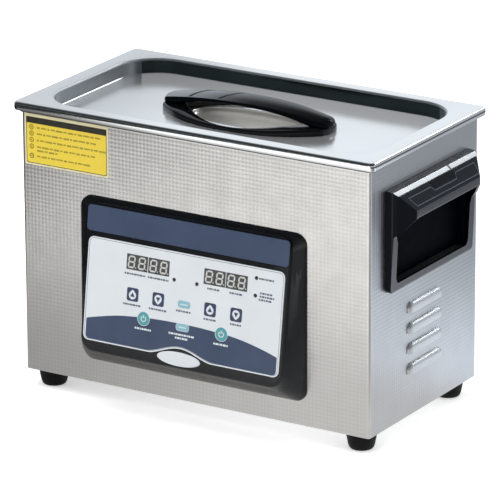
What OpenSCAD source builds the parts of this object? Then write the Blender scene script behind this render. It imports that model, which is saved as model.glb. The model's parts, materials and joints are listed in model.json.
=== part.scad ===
// Bench-top digital ultrasonic cleaner with a lift-off lid, mesh basket,
// side grip handles, tilted membrane control panel and rear drain valve.
// Millimetres. X runs left to right along the front, Y from the front to the
// back and Z up. The origin is on the bench, under the centre of the overall
// box in plan. Each sub-part is drawn about the middle of the housing and
// moved into that frame by at_body().

/* [Housing] */
// Width of the sheet-steel housing
body_w = 315; // [312:0.5:318]
// Depth of the sheet-steel housing
body_d = 167; // [165:0.5:169]
// Height of the housing's top edge above the bench
housing_top = 228.5; // [226:0.5:231]
// Thickness of the housing sheet
sheet = 0.8; // [0.6:0.1:1]
// Height of the rubber feet
foot_h = 14.5; // [13:0.5:16]

/* [Tank] */
// Inside width of the tank
tank_w = 300; // [298:0.5:301]
// Inside depth of the tank, front to back
tank_d = 155; // [153:0.5:156]
// Inside height of the tank
tank_h = 100; // [96:1:104]
// Tank sheet thickness
tank_t = 1; // [0.8:0.1:1.2]
// Inside corner radius of the tank
tank_r = 22; // [18:1:26]

/* [Lid] */
// Overall width of the lid
lid_w = 326; // [324.5:0.5:327]
// Overall depth of the lid
lid_d = 178; // [176.5:0.5:179]
// Height of the lid's turned-down edge
lid_lip = 6.7; // [6:0.1:8]
// Depth of the tray pressed into the lid
pan_h = 12.3; // [11:0.1:13]
// Half length of the lid handle
grip_half = 75.2; // [72:0.2:78]

/* [Control panel] */
// Tilt of the panel face from vertical
tilt = 8; // [7:0.5:9]
// Half width of the panel's foot on the housing
bezel_half = 102.3; // [101:0.1:104]
// Travel of a membrane key
key_travel = 0.3; // [0.2:0.05:0.3]

/* [Transducers] */
// Spacing of the three transducers
transducer_pitch = 72; // [66:1:76]
// Radius of a transducer's ceramic rings
transducer_r = 17.5; // [16:0.5:19]

/* [Drain] */
// Distance of the drain axis from the middle, to the left
drain_x = 112; // [108:1:116]
// Height of the drain valve's axis
drain_z = 52; // [50:1:54]
// Outer radius of the hose spout
spout_r = 7; // [6.5:0.1:7]

/* [Hidden] */
$fn = 48;
overlap = 0.01;

half_w = body_w / 2;
half_d = body_d / 2;
wall_y = half_d - sheet;           // inside face of the back wall
base_z = foot_h;                   // underside of the bottom plate
plate_top = base_z + 1;
rim_z = housing_top + 0.8;         // top of the tank flange
floor_z = rim_z - tank_h;          // tank floor, inside
under_z = floor_z - tank_t;        // tank floor, underside
tank_out_w = tank_w + 2 * tank_t;
tank_out_d = tank_d + 2 * tank_t;
board_t = 1.6;                     // both circuit boards

// Panel frame: u along X, v up the face, w outwards from the centre of the face
face_y = half_d + 13.92;           // in front of the middle
face_z = 108;
face_down = 60;                    // centre to lower edge
face_up = 59.4;                    // centre to upper edge

// Overall depth runs from the panel's lower edge to the end of the spout
spout_y = half_d + 55;
front_reach = face_y + face_down * sin(tilt);
shift_y = (front_reach - spout_y) / 2;

// ---------- helpers ----------
// [x, y] taken to quadrant q, counted anticlockwise from +X +Y
function corner(q, x, y) = [(q == 0 || q == 3) ? x : -x, q < 2 ? y : -y];

module round_rect(width, depth, radius, steps = 6)
  polygon([for (q = [0 : 3]) for (i = [0 : steps])
    let (a = q * 90 + i * 90 / steps)
    corner(q, width / 2 - radius, depth / 2 - radius) + radius * [cos(a), sin(a)]]);

module slab(width, depth, radius, low, high, steps = 6)
  translate([0, 0, low]) linear_extrude(high - low) round_rect(width, depth, radius, steps);

module box(low, high)
  translate(low) cube([high[0] - low[0], high[1] - low[1], high[2] - low[2]]);

module cyl_x(radius, from, to)
  translate([from, 0, 0]) rotate([0, 90, 0]) cylinder(r = radius, h = to - from);

module cyl_y(radius, from, to)
  translate([0, from, 0]) rotate([-90, 0, 0]) cylinder(r = radius, h = to - from);

module hex_y(flats, from, to)
  translate([0, from, 0]) rotate([-90, 0, 0])
    cylinder(r = flats / sqrt(3), h = to - from, $fn = 6);

module at_body() translate([0, shift_y, 0]) children();

module both() {
  children();
  mirror([1, 0, 0]) children();
}

module at_corners(x, y, z = 0)
  for (a = [-1, 1], b = [-1, 1]) translate([a * x, b * y, z]) children();

// place is [u, v] on the panel face
module in_panel(place = [0, 0], w = 0)
  translate([0, -face_y, face_z]) rotate([90 - tilt, 0, 0])
    translate([place[0], place[1], w]) children();

// ---------- fixing places ----------
foot_x = 141.6;
foot_y = 67.9;
plate_x = [-100, 0, 100];          // bottom plate screws
plate_y = 77.5;
grip_y = 4;                        // side handles sit slightly behind the middle
trim_y = 58.5;                     // side handle screws, from the handle's middle
trim_z = [140, 195];
boss_x = 86;                       // panel bezel screws
boss_z = [60, 155];
generator_mid = [6, -6];           // middle of the generator board
fan_z = 62;
fan_screw = 25;                    // fan screws, from the fan axis
inlet_x = 105;
inlet_z = 46;
inlet_screw = 20;                  // inlet screws, from the inlet's middle
switch_z = 92;

module at_feet(z = 0) at_corners(foot_x, foot_y, z) children();
module at_plate_screws(z) for (x = plate_x, s = [-1, 1]) translate([x, s * plate_y, z]) children();
module at_trim() for (z = trim_z, s = [-1, 1]) translate([0, s * trim_y, z]) children();
module at_bosses(y = 0) both() for (z = boss_z) translate([boss_x, y, z]) children();
module at_posts(z = 0)
  translate([generator_mid[0], generator_mid[1], 0]) at_corners(88, 46, z) children();
module at_fan() translate([0, 0, fan_z]) children();
module at_fan_screws()
  for (a = [-1, 1], b = [-1, 1]) translate([a * fan_screw, 0, b * fan_screw]) children();
module at_inlet() translate([inlet_x, 0, inlet_z]) children();
module at_inlet_screws() for (s = [-1, 1]) translate([s * inlet_screw, 0, 0]) children();
module at_switch() translate([inlet_x, 0, switch_z]) children();

// ---------- housing ----------
body_r = 2.2;                      // outside corner radius
inner_w = body_w - 2 * sheet;
inner_d = body_d - 2 * sheet;
louver_z = [98.9, 82.3, 65.6, 49];
louver_l = 45;
louver_r = 3.5;

module capsule_y(radius, length) {
  rotate([90, 0, 0]) cylinder(r = radius, h = length, center = true);
  for (s = [-1, 1]) translate([0, s * length / 2, 0]) sphere(r = radius);
}

// pressed hood, open at its lower edge
module louver()
  difference() {
    capsule_y(louver_r, louver_l);
    capsule_y(louver_r - sheet, louver_l);
    translate([-10, -40, -10]) cube([20, 80, 10]);
    translate([-10, -40, -overlap]) cube([10 - 0.3, 80, 20]);
  }

// sheet box with an opening for the tank, a bottom flange and louvred sides
module housing_blank() {
  difference() {
    slab(body_w, body_d, body_r, base_z, housing_top);
    slab(inner_w, inner_d, body_r - sheet, plate_top + sheet, housing_top - sheet);
    slab(tank_out_w + 3, tank_out_d + 3, tank_r + 2, housing_top - 2, housing_top + 1);
    slab(inner_w - 20, inner_d - 20, 3, base_z, base_z + 3);
    slab(inner_w, inner_d, body_r - sheet, base_z - 1, plate_top);
    both() for (z = louver_z)
      translate([half_w - 3, -louver_l / 2, z - 0.2]) cube([6, louver_l, 2.6]);
  }
  both() for (z = louver_z) translate([half_w, 0, z]) louver();
}

module housing_shell() at_body() color("silver")
  difference() {
    union() housing_blank();
    // control wiring window, behind the panel
    box([-40, -half_d - 1, 84], [40, -half_d + 2, 112]);
    // handle pockets
    both() box([half_w - 2, grip_y - 54.3, 132.7], [half_w + 1, grip_y + 54.3, 186.3]);
    // rear openings: fan, inlet, switch, drain
    at_fan() {
      cyl_y(28, half_d - 2, half_d + 1);
      at_fan_screws() cyl_y(2.2, half_d - 2, half_d + 1);
    }
    at_inlet() {
      box([-14.3, half_d - 2, -13.8], [14.3, half_d + 1, 13.8]);
      at_inlet_screws() cyl_y(1.7, half_d - 2, half_d + 1);
    }
    at_switch() box([-6.6, half_d - 2, -9.6], [6.6, half_d + 1, 9.6]);
    translate([-drain_x, 0, drain_z]) cyl_y(8, half_d - 2, half_d + 1);
    // screw holes
    both() translate([0, grip_y, 0]) at_trim() cyl_x(1.6, half_w - 2, half_w + 1);
    at_bosses() cyl_y(1.6, -half_d - 1, -half_d + 2);
    at_plate_screws(base_z) cylinder(r = 1.6, h = 4);
  }

module bottom_plate() at_body() color("gainsboro")
  difference() {
    slab(inner_w - 0.6, inner_d - 0.6, 1.2, base_z, plate_top);
    at_plate_screws(base_z - 1) cylinder(r = 1.7, h = 4);
    at_feet(base_z - 1) cylinder(r = 2.2, h = 4);
    at_posts(base_z - 1) cylinder(r = 1.6, h = 4);
    // slots along the front and back edges
    for (i = [-4 : 4], s = [-1, 1])
      translate([i * 9, s * 66, base_z]) linear_extrude(4, center = true)
        round_rect(3, 8, 1.4, 3);
  }

module bottom_screws() at_body() color("lightgray")
  at_plate_screws(base_z) {
    translate([0, 0, -1.7]) cylinder(r1 = 2.6, r2 = 3, h = 1.7);
    translate([0, 0, -overlap]) cylinder(r = 1.5, h = 7);
  }

// radius, z
foot_profile = [
  [4.6, 0], [8.4, 0], [9.7, 1], [10.3, 3], [12.5, foot_h - 1.5], [12.5, foot_h],
  [2.3, foot_h], [2.3, 6], [4.6, 6]];

module feet() at_body() color([0.06, 0.06, 0.06]) at_feet() rotate_extrude() polygon(foot_profile);

module foot_screws() at_body() color("lightgray")
  at_feet() {
    union() {
      translate([0, 0, 3.2]) cylinder(r = 4, h = 2.8);
      translate([0, 0, 5]) cylinder(r = 2, h = plate_top);
    }
    // nut on the bottom plate
    translate([0, 0, plate_top]) difference() {
      cylinder(r = 7 / sqrt(3), h = 3.2, $fn = 6);
      translate([0, 0, -1]) cylinder(r = 2.05, h = 6);
    }
  }

// ---------- tank ----------
rim_w = lid_w - 7;
rim_d = lid_d - 7;
outlet_y = 45;                     // drain outlet in the tank floor
bore_r = 5;                        // bore of the whole drain line

module tank() at_body() color("lightsteelblue")
  difference() {
    union() {
      difference() {
        slab(rim_w, rim_d, 4, rim_z - 1.8, rim_z);
        slab(rim_w - 1.6, rim_d - 1.6, 3.2, rim_z - 3, housing_top);
      }
      slab(tank_out_w, tank_out_d, tank_r + tank_t, under_z, rim_z);
    }
    slab(tank_w, tank_d, tank_r, floor_z, rim_z + 1);
    translate([-drain_x, outlet_y, under_z - 1]) cylinder(r = bore_r, h = 4);
  }

heater_t = 1.5;

// one on the tank's front wall, one on its back wall
module heater_pads() at_body() color("orangered")
  for (s = [-1, 1])
    translate([-100, s > 0 ? tank_out_d / 2 : -tank_out_d / 2 - heater_t, floor_z + 9])
      cube([200, heater_t, 52]);

module temperature_sensor() at_body() color("goldenrod")
  translate([95, -42, under_z]) union() {
    translate([0, 0, -9]) cylinder(r = 3, h = 9);
    translate([0, 0, -2]) cylinder(r = 8, h = 2);
  }

// ---------- transducers ----------
transducer_x = [-transducer_pitch, 0, transducer_pitch];
ring_h = 5;
ring_gap = 0.2;                    // gap under each ring
back_mass_h = 20;
// undersides of the stack, top to bottom
front_mass_z = under_z - 24;
upper_ring_z = front_mass_z - ring_h - ring_gap;
lower_ring_z = upper_ring_z - ring_h - ring_gap;
back_mass_z = lower_ring_z - back_mass_h;

module at_transducers() at_body() for (x = transducer_x) translate([x, 0, 0]) children();

module transducer_front_masses() color("silver") at_transducers()
  rotate_extrude() polygon([
    [4.1, front_mass_z], [transducer_r, front_mass_z], [transducer_r, front_mass_z + 5],
    [22.5, front_mass_z + 18], [22.5, under_z], [0, under_z],
    [0, front_mass_z + 15], [4.1, front_mass_z + 15]]);

module piezo_rings() color("white") at_transducers()
  for (z = [upper_ring_z, lower_ring_z]) translate([0, 0, z + ring_gap])
    difference() {
      cylinder(r = transducer_r - 0.3, h = ring_h);
      translate([0, 0, -1]) cylinder(r = 7, h = 8);
    }

module transducer_back_masses() color("dimgray") at_transducers()
  translate([0, 0, back_mass_z]) difference() {
    cylinder(r = transducer_r, h = back_mass_h);
    translate([0, 0, -1]) cylinder(r = 4.2, h = 30);
  }

module transducer_bolts() color("darkgray") at_transducers() union() {
  translate([0, 0, back_mass_z - 6]) cylinder(r = 7.2, h = 6, $fn = 6);
  translate([0, 0, back_mass_z - 1])
    cylinder(r = 4, h = front_mass_z + 14 - back_mass_z + 1);
}

// ---------- generator electronics ----------
generator_z = base_z + 10;         // underside of the board
generator_top = generator_z + board_t;
sink_corner = [-76, 12];           // left front corner of the heatsink

module generator_board() at_body() color("darkgreen")
  difference() {
    translate([generator_mid[0] - 95, generator_mid[1] - 52, generator_z])
      cube([190, 104, board_t]);
    at_posts(generator_z - 1) cylinder(r = 1.7, h = 4);
  }

module board_standoffs() at_body() color("ivory")
  at_posts() {
    translate([0, 0, plate_top]) cylinder(r = 3.2, h = generator_z - plate_top);
    translate([0, 0, base_z - 0.6]) cylinder(r = 1.5, h = 2.6);
    translate([0, 0, generator_z - 1]) cylinder(r = 1.55, h = 4.6);
  }

// upright back with five fins
module heatsink() at_body() color("darkslategray")
  translate([sink_corner[0], sink_corner[1], generator_top])
    rotate([90, 0, 90]) linear_extrude(74) union() {
      square([4, 34]);
      for (i = [0 : 4]) translate([3, i * 8]) square([22, 2]);
    }

module power_transistors() at_body() color([0.15, 0.15, 0.15])
  for (i = [0 : 2])
    translate([sink_corner[0] + 10 + i * 20, sink_corner[1] - 5, generator_top]) union() {
      translate([0, 0, 5]) cube([16, 5, 21]);
      // legs
      for (k = [0 : 2]) translate([2 + k * 5.4, 2, 0]) cube([1.2, 0.8, 6]);
    }

module at_transformer() translate([56, 24, generator_top]) children();

module transformer_core() at_body() color("dimgray") at_transformer()
  difference() {
    translate([-21, -8, 0]) cube([42, 16, 36]);
    for (s = [-1, 1]) translate([s * 10.5 - 4.5, -10, 6]) cube([9, 20, 24]);
  }

module transformer_winding() at_body() color("chocolate") at_transformer()
  difference() {
    translate([0, 0, 6.5]) linear_extrude(23) round_rect(29, 30, 4, 3);
    linear_extrude(40) round_rect(12.4, 16.4, 0.6, 2);
  }

module capacitors() at_body() color("midnightblue") {
  for (x = [-66, -38, -10]) translate([x, -34, generator_top]) cylinder(r = 11, h = 32);
  for (x = [22, 44, 66]) translate([x, -46, generator_top]) cube([17, 13, 17]);
}

// ---------- wiring ----------
// flat wire through a list of points, with round joints
module wire_path(points, width) {
  for (i = [0 : len(points) - 2]) {
    step = points[i + 1] - points[i];
    translate(points[i]) rotate(atan2(step[1], step[0]))
      translate([0, -width / 2]) square([norm(step), width]);
  }
  for (p = points) translate(p) circle(d = width, $fn = 12);
}

// x from the transducer axis, z
transducer_lead = [[20.5, generator_z + 2.7], [20.5, 90], [18.7, 96]];
// x, y
mains_lead = [[112, 58.2], [112, 44], [96, 26], [96, 20]];
mains_z = 36;
// y, z
ribbon_path = [[-89.2, 100], [-79, 100], [-76, 97], [-76, 36], [-71, 30], [-54, 27]];
sensor_lead = [[-42, 118.2], [-62, 108], [-62, 34], [-56.4, 27.1]];

module wiring_harness() at_body() color("firebrick") {
  // board to each transducer
  for (x = transducer_x) translate([x, 1, 0]) rotate([90, 0, 0]) linear_extrude(2)
    union() wire_path(transducer_lead, 2);
  // inlet to the board
  union() {
    translate([0, 0, mains_z]) linear_extrude(2.4) union() wire_path(mains_lead, 2.4);
    translate([96, 20, generator_z + 1.7]) cylinder(r = 1.6, h = mains_z - generator_z);
  }
  // ribbon from the control board
  translate([-12, 0, 0]) rotate([90, 0, 90]) linear_extrude(24)
    union() wire_path(ribbon_path, 1.2);
  // sensor to the board
  translate([94.1, 0, 0]) rotate([90, 0, 90]) linear_extrude(1.8)
    union() wire_path(sensor_lead, 1.8);
}

// ---------- side handles ----------
// Outlines of the right handle; x is measured outwards from the housing side.
// x, z
handle_elevation = [
  [0, 124.2], [4.8, 124.2], [5.8, 126], [5.8, 170], [11.6, 174.6], [19.4, 184.3],
  [19.4, 189.2], [9.2, 203.1], [6.2, 205.6], [0, 206.6]];
hollow_elevation = [
  [-3.3, 134], [0, 134], [3, 131], [24, 131], [24, 184], [17, 184],
  [17, 188.2], [6.4, 200.6], [2, 184], [-3.3, 184]];
// x, y
handle_plan = [
  [0, -64], [5.8, -64], [8.5, -62], [19.4, -50.4],
  [19.4, 50.4], [8.5, 62], [5.8, 64], [0, 64]];
hollow_plan = [
  [-3.4, -52.5], [4, -53.5], [6, -59.5], [7, -59.5], [18.2, -47.6], [24, -47.6],
  [24, 47.6], [18.2, 47.6], [7, 59.5], [6, 59.5], [4, 53.5], [-3.4, 52.5]];

module handle_form(elevation, plan)
  intersection() {
    rotate([90, 0, 0]) linear_extrude(140, center = true) polygon(elevation);
    translate([0, 0, 100]) linear_extrude(120) polygon(plan);
  }

module side_handle() translate([half_w, grip_y, 0])
  difference() {
    union() {
      handle_form(handle_elevation, handle_plan);
      box([-4.5, -54, 133], [1, 54, 186]);
    }
    handle_form(hollow_elevation, hollow_plan);
    at_trim() cyl_x(1.35, -1, 4.6);
  }

module side_handle_right() at_body() color([0.04, 0.04, 0.05]) side_handle();
module side_handle_left() at_body() color([0.04, 0.04, 0.05]) mirror([1, 0, 0]) side_handle();

// head below z = 0, shank above
module trim_screw() {
  translate([0, 0, -1.8]) cylinder(r = 2.7, h = 1.8);
  translate([0, 0, -1]) cylinder(r = 1.25, h = 6);
}

// driven outwards from inside the housing
module trim_screws() at_body() color("lightgray") {
  both() translate([half_w - sheet, grip_y, 0]) at_trim() rotate([0, 90, 0]) trim_screw();
  at_bosses(-half_d + sheet) rotate([90, 0, 0]) trim_screw();
}

// ---------- control panel ----------
// u, v on the face
key_places = [
  [-45.9, -8.1], [-22.4, -8.1], [1.2, -8.1], [24.8, -8.1], [48.3, -8.1],
  [-34.6, -25.4], [1.1, -26.2], [36.3, -25.4]];
key_shapes = ["square", "square", "pill", "square", "square", "round", "pill", "round"];
display_places = [for (u = [-43.6, -23.7, 27, 46.9]) [u, 17.4]];
led_places = [[-9.2, 9.8], [11.4, 9.8], [64.1, 23.5], [64.1, 9.8]];
peg_places = [[-80, 24], [80, 24], [-80, -34], [80, -34]];
board_front = -6.75;               // w of the control board's front surface
key_back = -1.4;                   // w of the keys' back surface
overlay_t = 0.49;

// outline of key i, grown by gap
module key_outline(i, gap = 0) {
  if (key_shapes[i] == "pill") round_rect(11 + 2 * gap, 5.2 + 2 * gap, 2 + gap, 4);
  else if (key_shapes[i] == "round") circle(r = 5.2 + gap);
  else round_rect(10.4 + 2 * gap, 10.4 + 2 * gap, 1.6 + gap, 4);
}

module key(i) at_body() in_panel(key_places[i], key_back) linear_extrude(2.05) key_outline(i);

module bezel_solid(inset) hull() {
  // foot on the housing
  translate([0, -half_d + (inset > 0 ? overlap : 0), 101.6]) rotate([90, 0, 0])
    linear_extrude(1)
      round_rect(2 * bezel_half - 2 * inset, 135.2 - 2 * inset, 10 - inset / 2, 8);
  // face
  in_panel([0, (face_up - face_down) / 2], -1 - inset) linear_extrude(1)
    round_rect(184.6 - 2 * inset, face_up + face_down - 2 * inset, 12 - inset / 2, 8);
}

module panel_bezel() at_body() color([0.1, 0.1, 0.11])
  difference() {
    union() {
      difference() {
        bezel_solid(0);
        bezel_solid(2);
      }
      // screw bosses
      both() {
        translate([boss_x, 0, boss_z[1]]) cyl_y(3, -half_d - 6, -half_d);
        translate([boss_x, 0, boss_z[0]]) cyl_y(3, -half_d - 19.4, -half_d);
      }
      // shouldered pegs for the control board
      for (p = peg_places) in_panel(p, board_front) cylinder(r = 3, h = -board_front - 1);
      for (p = peg_places) in_panel(p, board_front - 2.6) cylinder(r = 1.2, h = 4);
    }
    at_bosses() cyl_y(1.35, -half_d - 5, -half_d + 1);
    for (i = [0 : 7]) in_panel(key_places[i], -4) linear_extrude(6) key_outline(i, 0.3);
    for (p = display_places) in_panel(p, -4) linear_extrude(6) round_rect(19.8, 12.8, 0.3, 2);
    for (p = led_places) in_panel(p, -4) cylinder(r = 1.7, h = 6);
  }

module panel_overlay() at_body() color("whitesmoke") in_panel(w = 0.01) {
  // top strip
  translate([0, 46.5, 0]) linear_extrude(overlay_t) round_rect(183, 20.4, 3, 4);
  // main sheet
  linear_extrude(overlay_t) difference() {
    translate([0, -9.3]) round_rect(178.4, 82.6, 5, 5);
    for (i = [0 : 7]) translate(key_places[i]) key_outline(i, 0.15);
    for (p = display_places) translate(p) round_rect(19.4, 12.4, 0.2, 2);
    for (p = led_places) translate(p) circle(r = 1.6);
    // notch over the badge
    polygon([
      for (i = [-16 : 16]) [i * 2, -51 + 7.6 * (0.5 + 0.5 * cos(i * 180 / 16))],
      [32, -60], [-32, -60]]);
  }
  // blank oval badge below the notch
  translate([-0.6, -51.7, 0]) linear_extrude(overlay_t)
    polygon([for (i = [0 : 35]) [19.5 * cos(i * 10), 5.5 * sin(i * 10)]]);
}

module control_board() at_body() color("seagreen")
  in_panel(w = board_front - board_t) linear_extrude(board_t)
    difference() {
      translate([-84, -42]) square([168, 72]);
      for (p = peg_places) translate(p) circle(r = 1.35);
    }

module display_modules() at_body() color([0.3, 0.3, 0.33])
  for (p = display_places) in_panel(p, board_front)
    linear_extrude(0.32 - board_front) round_rect(19.1, 12.1, 0.2, 2);

module indicator_leds() at_body() color([0.25, 0.25, 0.28])
  for (p = led_places) in_panel(p, board_front) union() {
    cylinder(r = 1.5, h = 0.25 - board_front);
    cylinder(r = 1.9, h = 3);
  }

// plungers stop just short of the keys' travel
module tact_switches() at_body() color([0.12, 0.12, 0.12])
  for (p = key_places) in_panel(p, board_front) union() {
    translate([-3, -3, 0]) cube([6, 6, 3.4]);
    cylinder(r = 1.7, h = key_back - key_travel - 0.05 - board_front);
  }

// upper left of the housing front
module info_sticker() at_body() color("gold")
  box([-154.6, -half_d - 0.2, 185.3], [-76.6, -half_d, 227.4]);

module key_temp_up() color("slategray") key(0);
module key_temp_down() color("slategray") key(1);
module key_degas() color("powderblue") key(2);
module key_time_up() color("slategray") key(3);
module key_time_down() color("slategray") key(4);
module key_heat() color("cadetblue") key(5);
module key_half_power() color("powderblue") key(6);
module key_ultrasonic() color("cadetblue") key(7);

// ---------- fan ----------
guard_t = 1.8;
guard_y = half_d + guard_t;        // outer face of the guard
fan_front = wall_y - 15;           // face of the frame inside the housing
hub_r = 15;

module fan_frame() at_body() color([0.1, 0.1, 0.1]) at_fan()
  difference() {
    union() {
      translate([0, wall_y, 0]) rotate([90, 0, 0]) linear_extrude(15) difference() {
        round_rect(60, 60, 3, 3);
        circle(r = 28.4);
      }
      // arms, hub plate and bearing
      for (a = [0 : 3]) rotate([0, 45 + a * 90, 0])
        box([14, fan_front, -1.5], [29.4, wall_y - 12.5, 1.5]);
      cyl_y(hub_r, fan_front, wall_y - 12.5);
      cyl_y(4, wall_y - 13, wall_y - 8);
    }
    cyl_y(1.55, wall_y - 16, wall_y - 7);
    at_fan_screws() cyl_y(2.05, wall_y - 16, wall_y + 1);
  }

module fan_rotor() at_body() color([0.14, 0.14, 0.14]) at_fan()
  difference() {
    union() {
      cyl_y(hub_r, wall_y - 12, wall_y - 1);
      // seven blades
      for (a = [0 : 6]) rotate([0, a * 360 / 7, 0]) translate([20.5, wall_y - 6.5, 0])
        rotate([42, 0, 0]) cube([13.4, 1.2, 12.5], center = true);
    }
    // hollow hub around the shaft
    difference() {
      cyl_y(13.6, wall_y - 13, wall_y - 2.4);
      cyl_y(1.5, wall_y - 13, wall_y);
    }
  }

module fan_guard() at_body() color("gainsboro")
  translate([0, guard_y, fan_z]) rotate([90, 0, 0]) linear_extrude(guard_t)
    difference() {
      union() {
        for (r = [7, 14, 21, 28]) difference() {
          circle(r = r + 0.9);
          circle(r = r - 0.9);
        }
        for (a = [45, -45]) rotate(a) square([64, 2.2], center = true);
        at_corners(fan_screw, fan_screw) circle(r = 4.4);
      }
      at_corners(fan_screw, fan_screw) circle(r = 2.2);
    }

module rear_screws() at_body() color("lightgray") {
  at_fan() at_fan_screws() union() {
    cyl_y(3.6, guard_y, guard_y + 2);
    cyl_y(1.95, wall_y - 14, guard_y + 1);
  }
  at_inlet() at_inlet_screws() union() {
    cyl_y(2.7, half_d + 2.5, half_d + 4.1);
    cyl_y(1.45, half_d - 6, half_d + 3);
  }
}

// ---------- mains inlet and switch ----------
// x, z
socket_outline = [[-12.1, -8.2], [12.1, -8.2], [12.1, 4.2], [8.1, 8.2], [-8.1, 8.2], [-12.1, 4.2]];
pin_places = [[-7, 2.5], [7, 2.5], [0, 6.5]];
// depth out from the pivot, z
rocker_profile = [
  [-4.5, -3], [-1, -8.1], [3.2, -8.1], [3.5, -7.6], [2.6, 0],
  [3.5, 7.6], [3.2, 8.1], [-1, 8.1], [-4.5, 3]];
pivot_y = half_d - 1.5;

module power_inlet() at_body() color([0.08, 0.08, 0.08]) at_inlet()
  union() {
    difference() {
      union() {
        box([-14, half_d - 24, -13.5], [14, half_d + 1, 13.5]);
        translate([0, half_d + 2.5, 0]) rotate([90, 0, 0]) linear_extrude(2.5)
          round_rect(50, 30, 6, 4);
      }
      translate([0, half_d + 4, 4.5]) rotate([90, 0, 0]) linear_extrude(20)
        polygon(socket_outline);
      // fuse drawer slot
      box([-12.2, half_d - 19, -12.6], [12.2, half_d + 4, -4.6]);
      at_inlet_screws() cyl_y(1.6, half_d - 1, half_d + 4);
    }
    for (p = pin_places) translate([p[0] - 1, half_d - 17, p[1] - 2]) cube([2, 15, 4]);
  }

module fuse_drawer() at_body() color([0.12, 0.12, 0.12]) at_inlet()
  difference() {
    union() {
      box([-12, half_d - 18.6, -12.4], [12, half_d + 2.6, -4.8]);
      box([-5, half_d + 2.5, -9.8], [5, half_d + 3.6, -7.4]);
    }
    box([-10.7, half_d - 16.4, -11.2], [10.7, half_d - 10.4, -4]);
  }

module fuse_link() at_body() color("gainsboro")
  at_inlet() translate([0, half_d - 13.4, -8.55]) union() {
    cyl_x(2.3, -10, 10);
    for (s = [-1, 1]) translate([s * 7.5, 0, 0]) cyl_x(2.6, -2.5, 2.5);
  }

module rocker_switch_body() at_body() color([0.07, 0.07, 0.07]) at_switch()
  difference() {
    union() {
      box([-6.5, half_d - 16, -9.5], [6.5, half_d + 0.5, 9.5]);
      translate([0, half_d + 1.6, 0]) rotate([90, 0, 0]) linear_extrude(1.6)
        round_rect(15, 21, 1.2, 3);
      // terminals
      for (z = [-5, 5]) box([-3, half_d - 23, z - 0.4], [3, half_d - 15, z + 0.4]);
    }
    box([-5.1, half_d - 8, -9], [5.1, half_d + 3, 9]);
    translate([0, pivot_y, 0]) cyl_x(1.55, -6.1, 6.1);
  }

module rocker() at_body() color([0.1, 0.1, 0.1])
  at_switch() translate([0, pivot_y, 0]) rotate([8, 0, 0]) union() {
    translate([-4.9, 0, 0]) rotate([90, 0, 90]) linear_extrude(9.8) polygon(rocker_profile);
    cyl_x(1.5, -6, 6);
  }

// ---------- drain ----------
valve_y = half_d + 23.5;           // ball centre
pipe_r = 7;
bend_r = 20;
bend_y = outlet_y + bend_r;        // back end of the bend
stem_hole_r = 3.05;

module at_drain() at_body() translate([-drain_x, 0, drain_z]) children();
module at_valve() translate([0, valve_y, 0]) children();

// quarter bend between the upright pipe and the valve axis
module drain_bend(radius)
  translate([0, bend_y, bend_r]) rotate([90, 0, 90]) rotate([0, 0, 180])
    rotate_extrude(angle = 90) translate([bend_r, 0]) circle(r = radius);

module drain_fitting() at_drain() color("lightgray")
  difference() {
    union() {
      translate([0, outlet_y, bend_r]) cylinder(r = pipe_r, h = under_z - drain_z - bend_r);
      drain_bend(pipe_r);
      cyl_y(7.5, bend_y, half_d + 9.5);
    }
    translate([0, outlet_y, bend_r]) cylinder(r = bore_r, h = under_z - drain_z - 10);
    drain_bend(bore_r);
    cyl_y(bore_r, bend_y, half_d + 12);
  }

module drain_nut() at_drain() color("goldenrod") difference() {
  hex_y(22, wall_y - 5, wall_y);
  cyl_y(7.6, wall_y - 7, wall_y + 2);
}

module drain_gasket() at_drain() color([0.1, 0.1, 0.1]) difference() {
  cyl_y(12, half_d, half_d + 1.5);
  cyl_y(7.6, half_d - 1, half_d + 3);
}

module drain_valve_body() at_drain() color("goldenrod")
  difference() {
    union() {
      hex_y(24, half_d + 1.5, half_d + 12);
      at_valve() sphere(r = 13);
      translate([0, half_d + 11, 0]) rotate([-90, 0, 0]) cylinder(r = 10.5, h = 6);
      translate([0, valve_y + 8, 0]) rotate([-90, 0, 0]) cylinder(r = 9, h = 7.5);
      cyl_y(spout_r, valve_y + 12, spout_y);
      at_valve() cylinder(r = 6, h = 17);
    }
    cyl_y(7.55, half_d, half_d + 10);
    cyl_y(bore_r, half_d + 5, spout_y + 1);
    at_valve() sphere(r = 8.05);
    at_valve() cylinder(r = stem_hole_r, h = 20);
  }

// bored across the pipe, with a flat for the stem
module drain_ball() at_drain() color("silver") at_valve()
  difference() {
    sphere(r = 8);
    cyl_x(bore_r, -10, 10);
    translate([-5, -5, 6.2]) cube(10);
  }

module drain_stem() at_drain() color("silver") at_valve() union() {
  translate([0, 0, 6.2]) cylinder(r = 3, h = 17.8);
  translate([0, 0, 20]) difference() {
    cylinder(r = 10 / sqrt(3), h = 3, $fn = 6);
    translate([0, 0, -1]) cylinder(r = 2.9, h = 6);
  }
}

module drain_lever() at_drain() color("firebrick") translate([0, valve_y, 17.2])
  linear_extrude(2.8) difference() {
    union() {
      circle(r = 7.5);
      translate([0, -5]) square([34, 10]);
      translate([34, 0]) circle(r = 7);
    }
    circle(r = stem_hole_r);
  }

// ---------- lid ----------
lid_top = rim_z + lid_lip;
pan_t = 1;
pan_z = lid_top - pan_h;           // floor of the lid tray
pan_w = tank_w - 5.4;
pan_d = tank_d - 4;
pan_r = 34;
well_w = 98;                       // smaller recess in the tray floor
well_d = 42;
well_r = 19;
well_h = 6.5;
lid_screw_x = 66;

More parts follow.
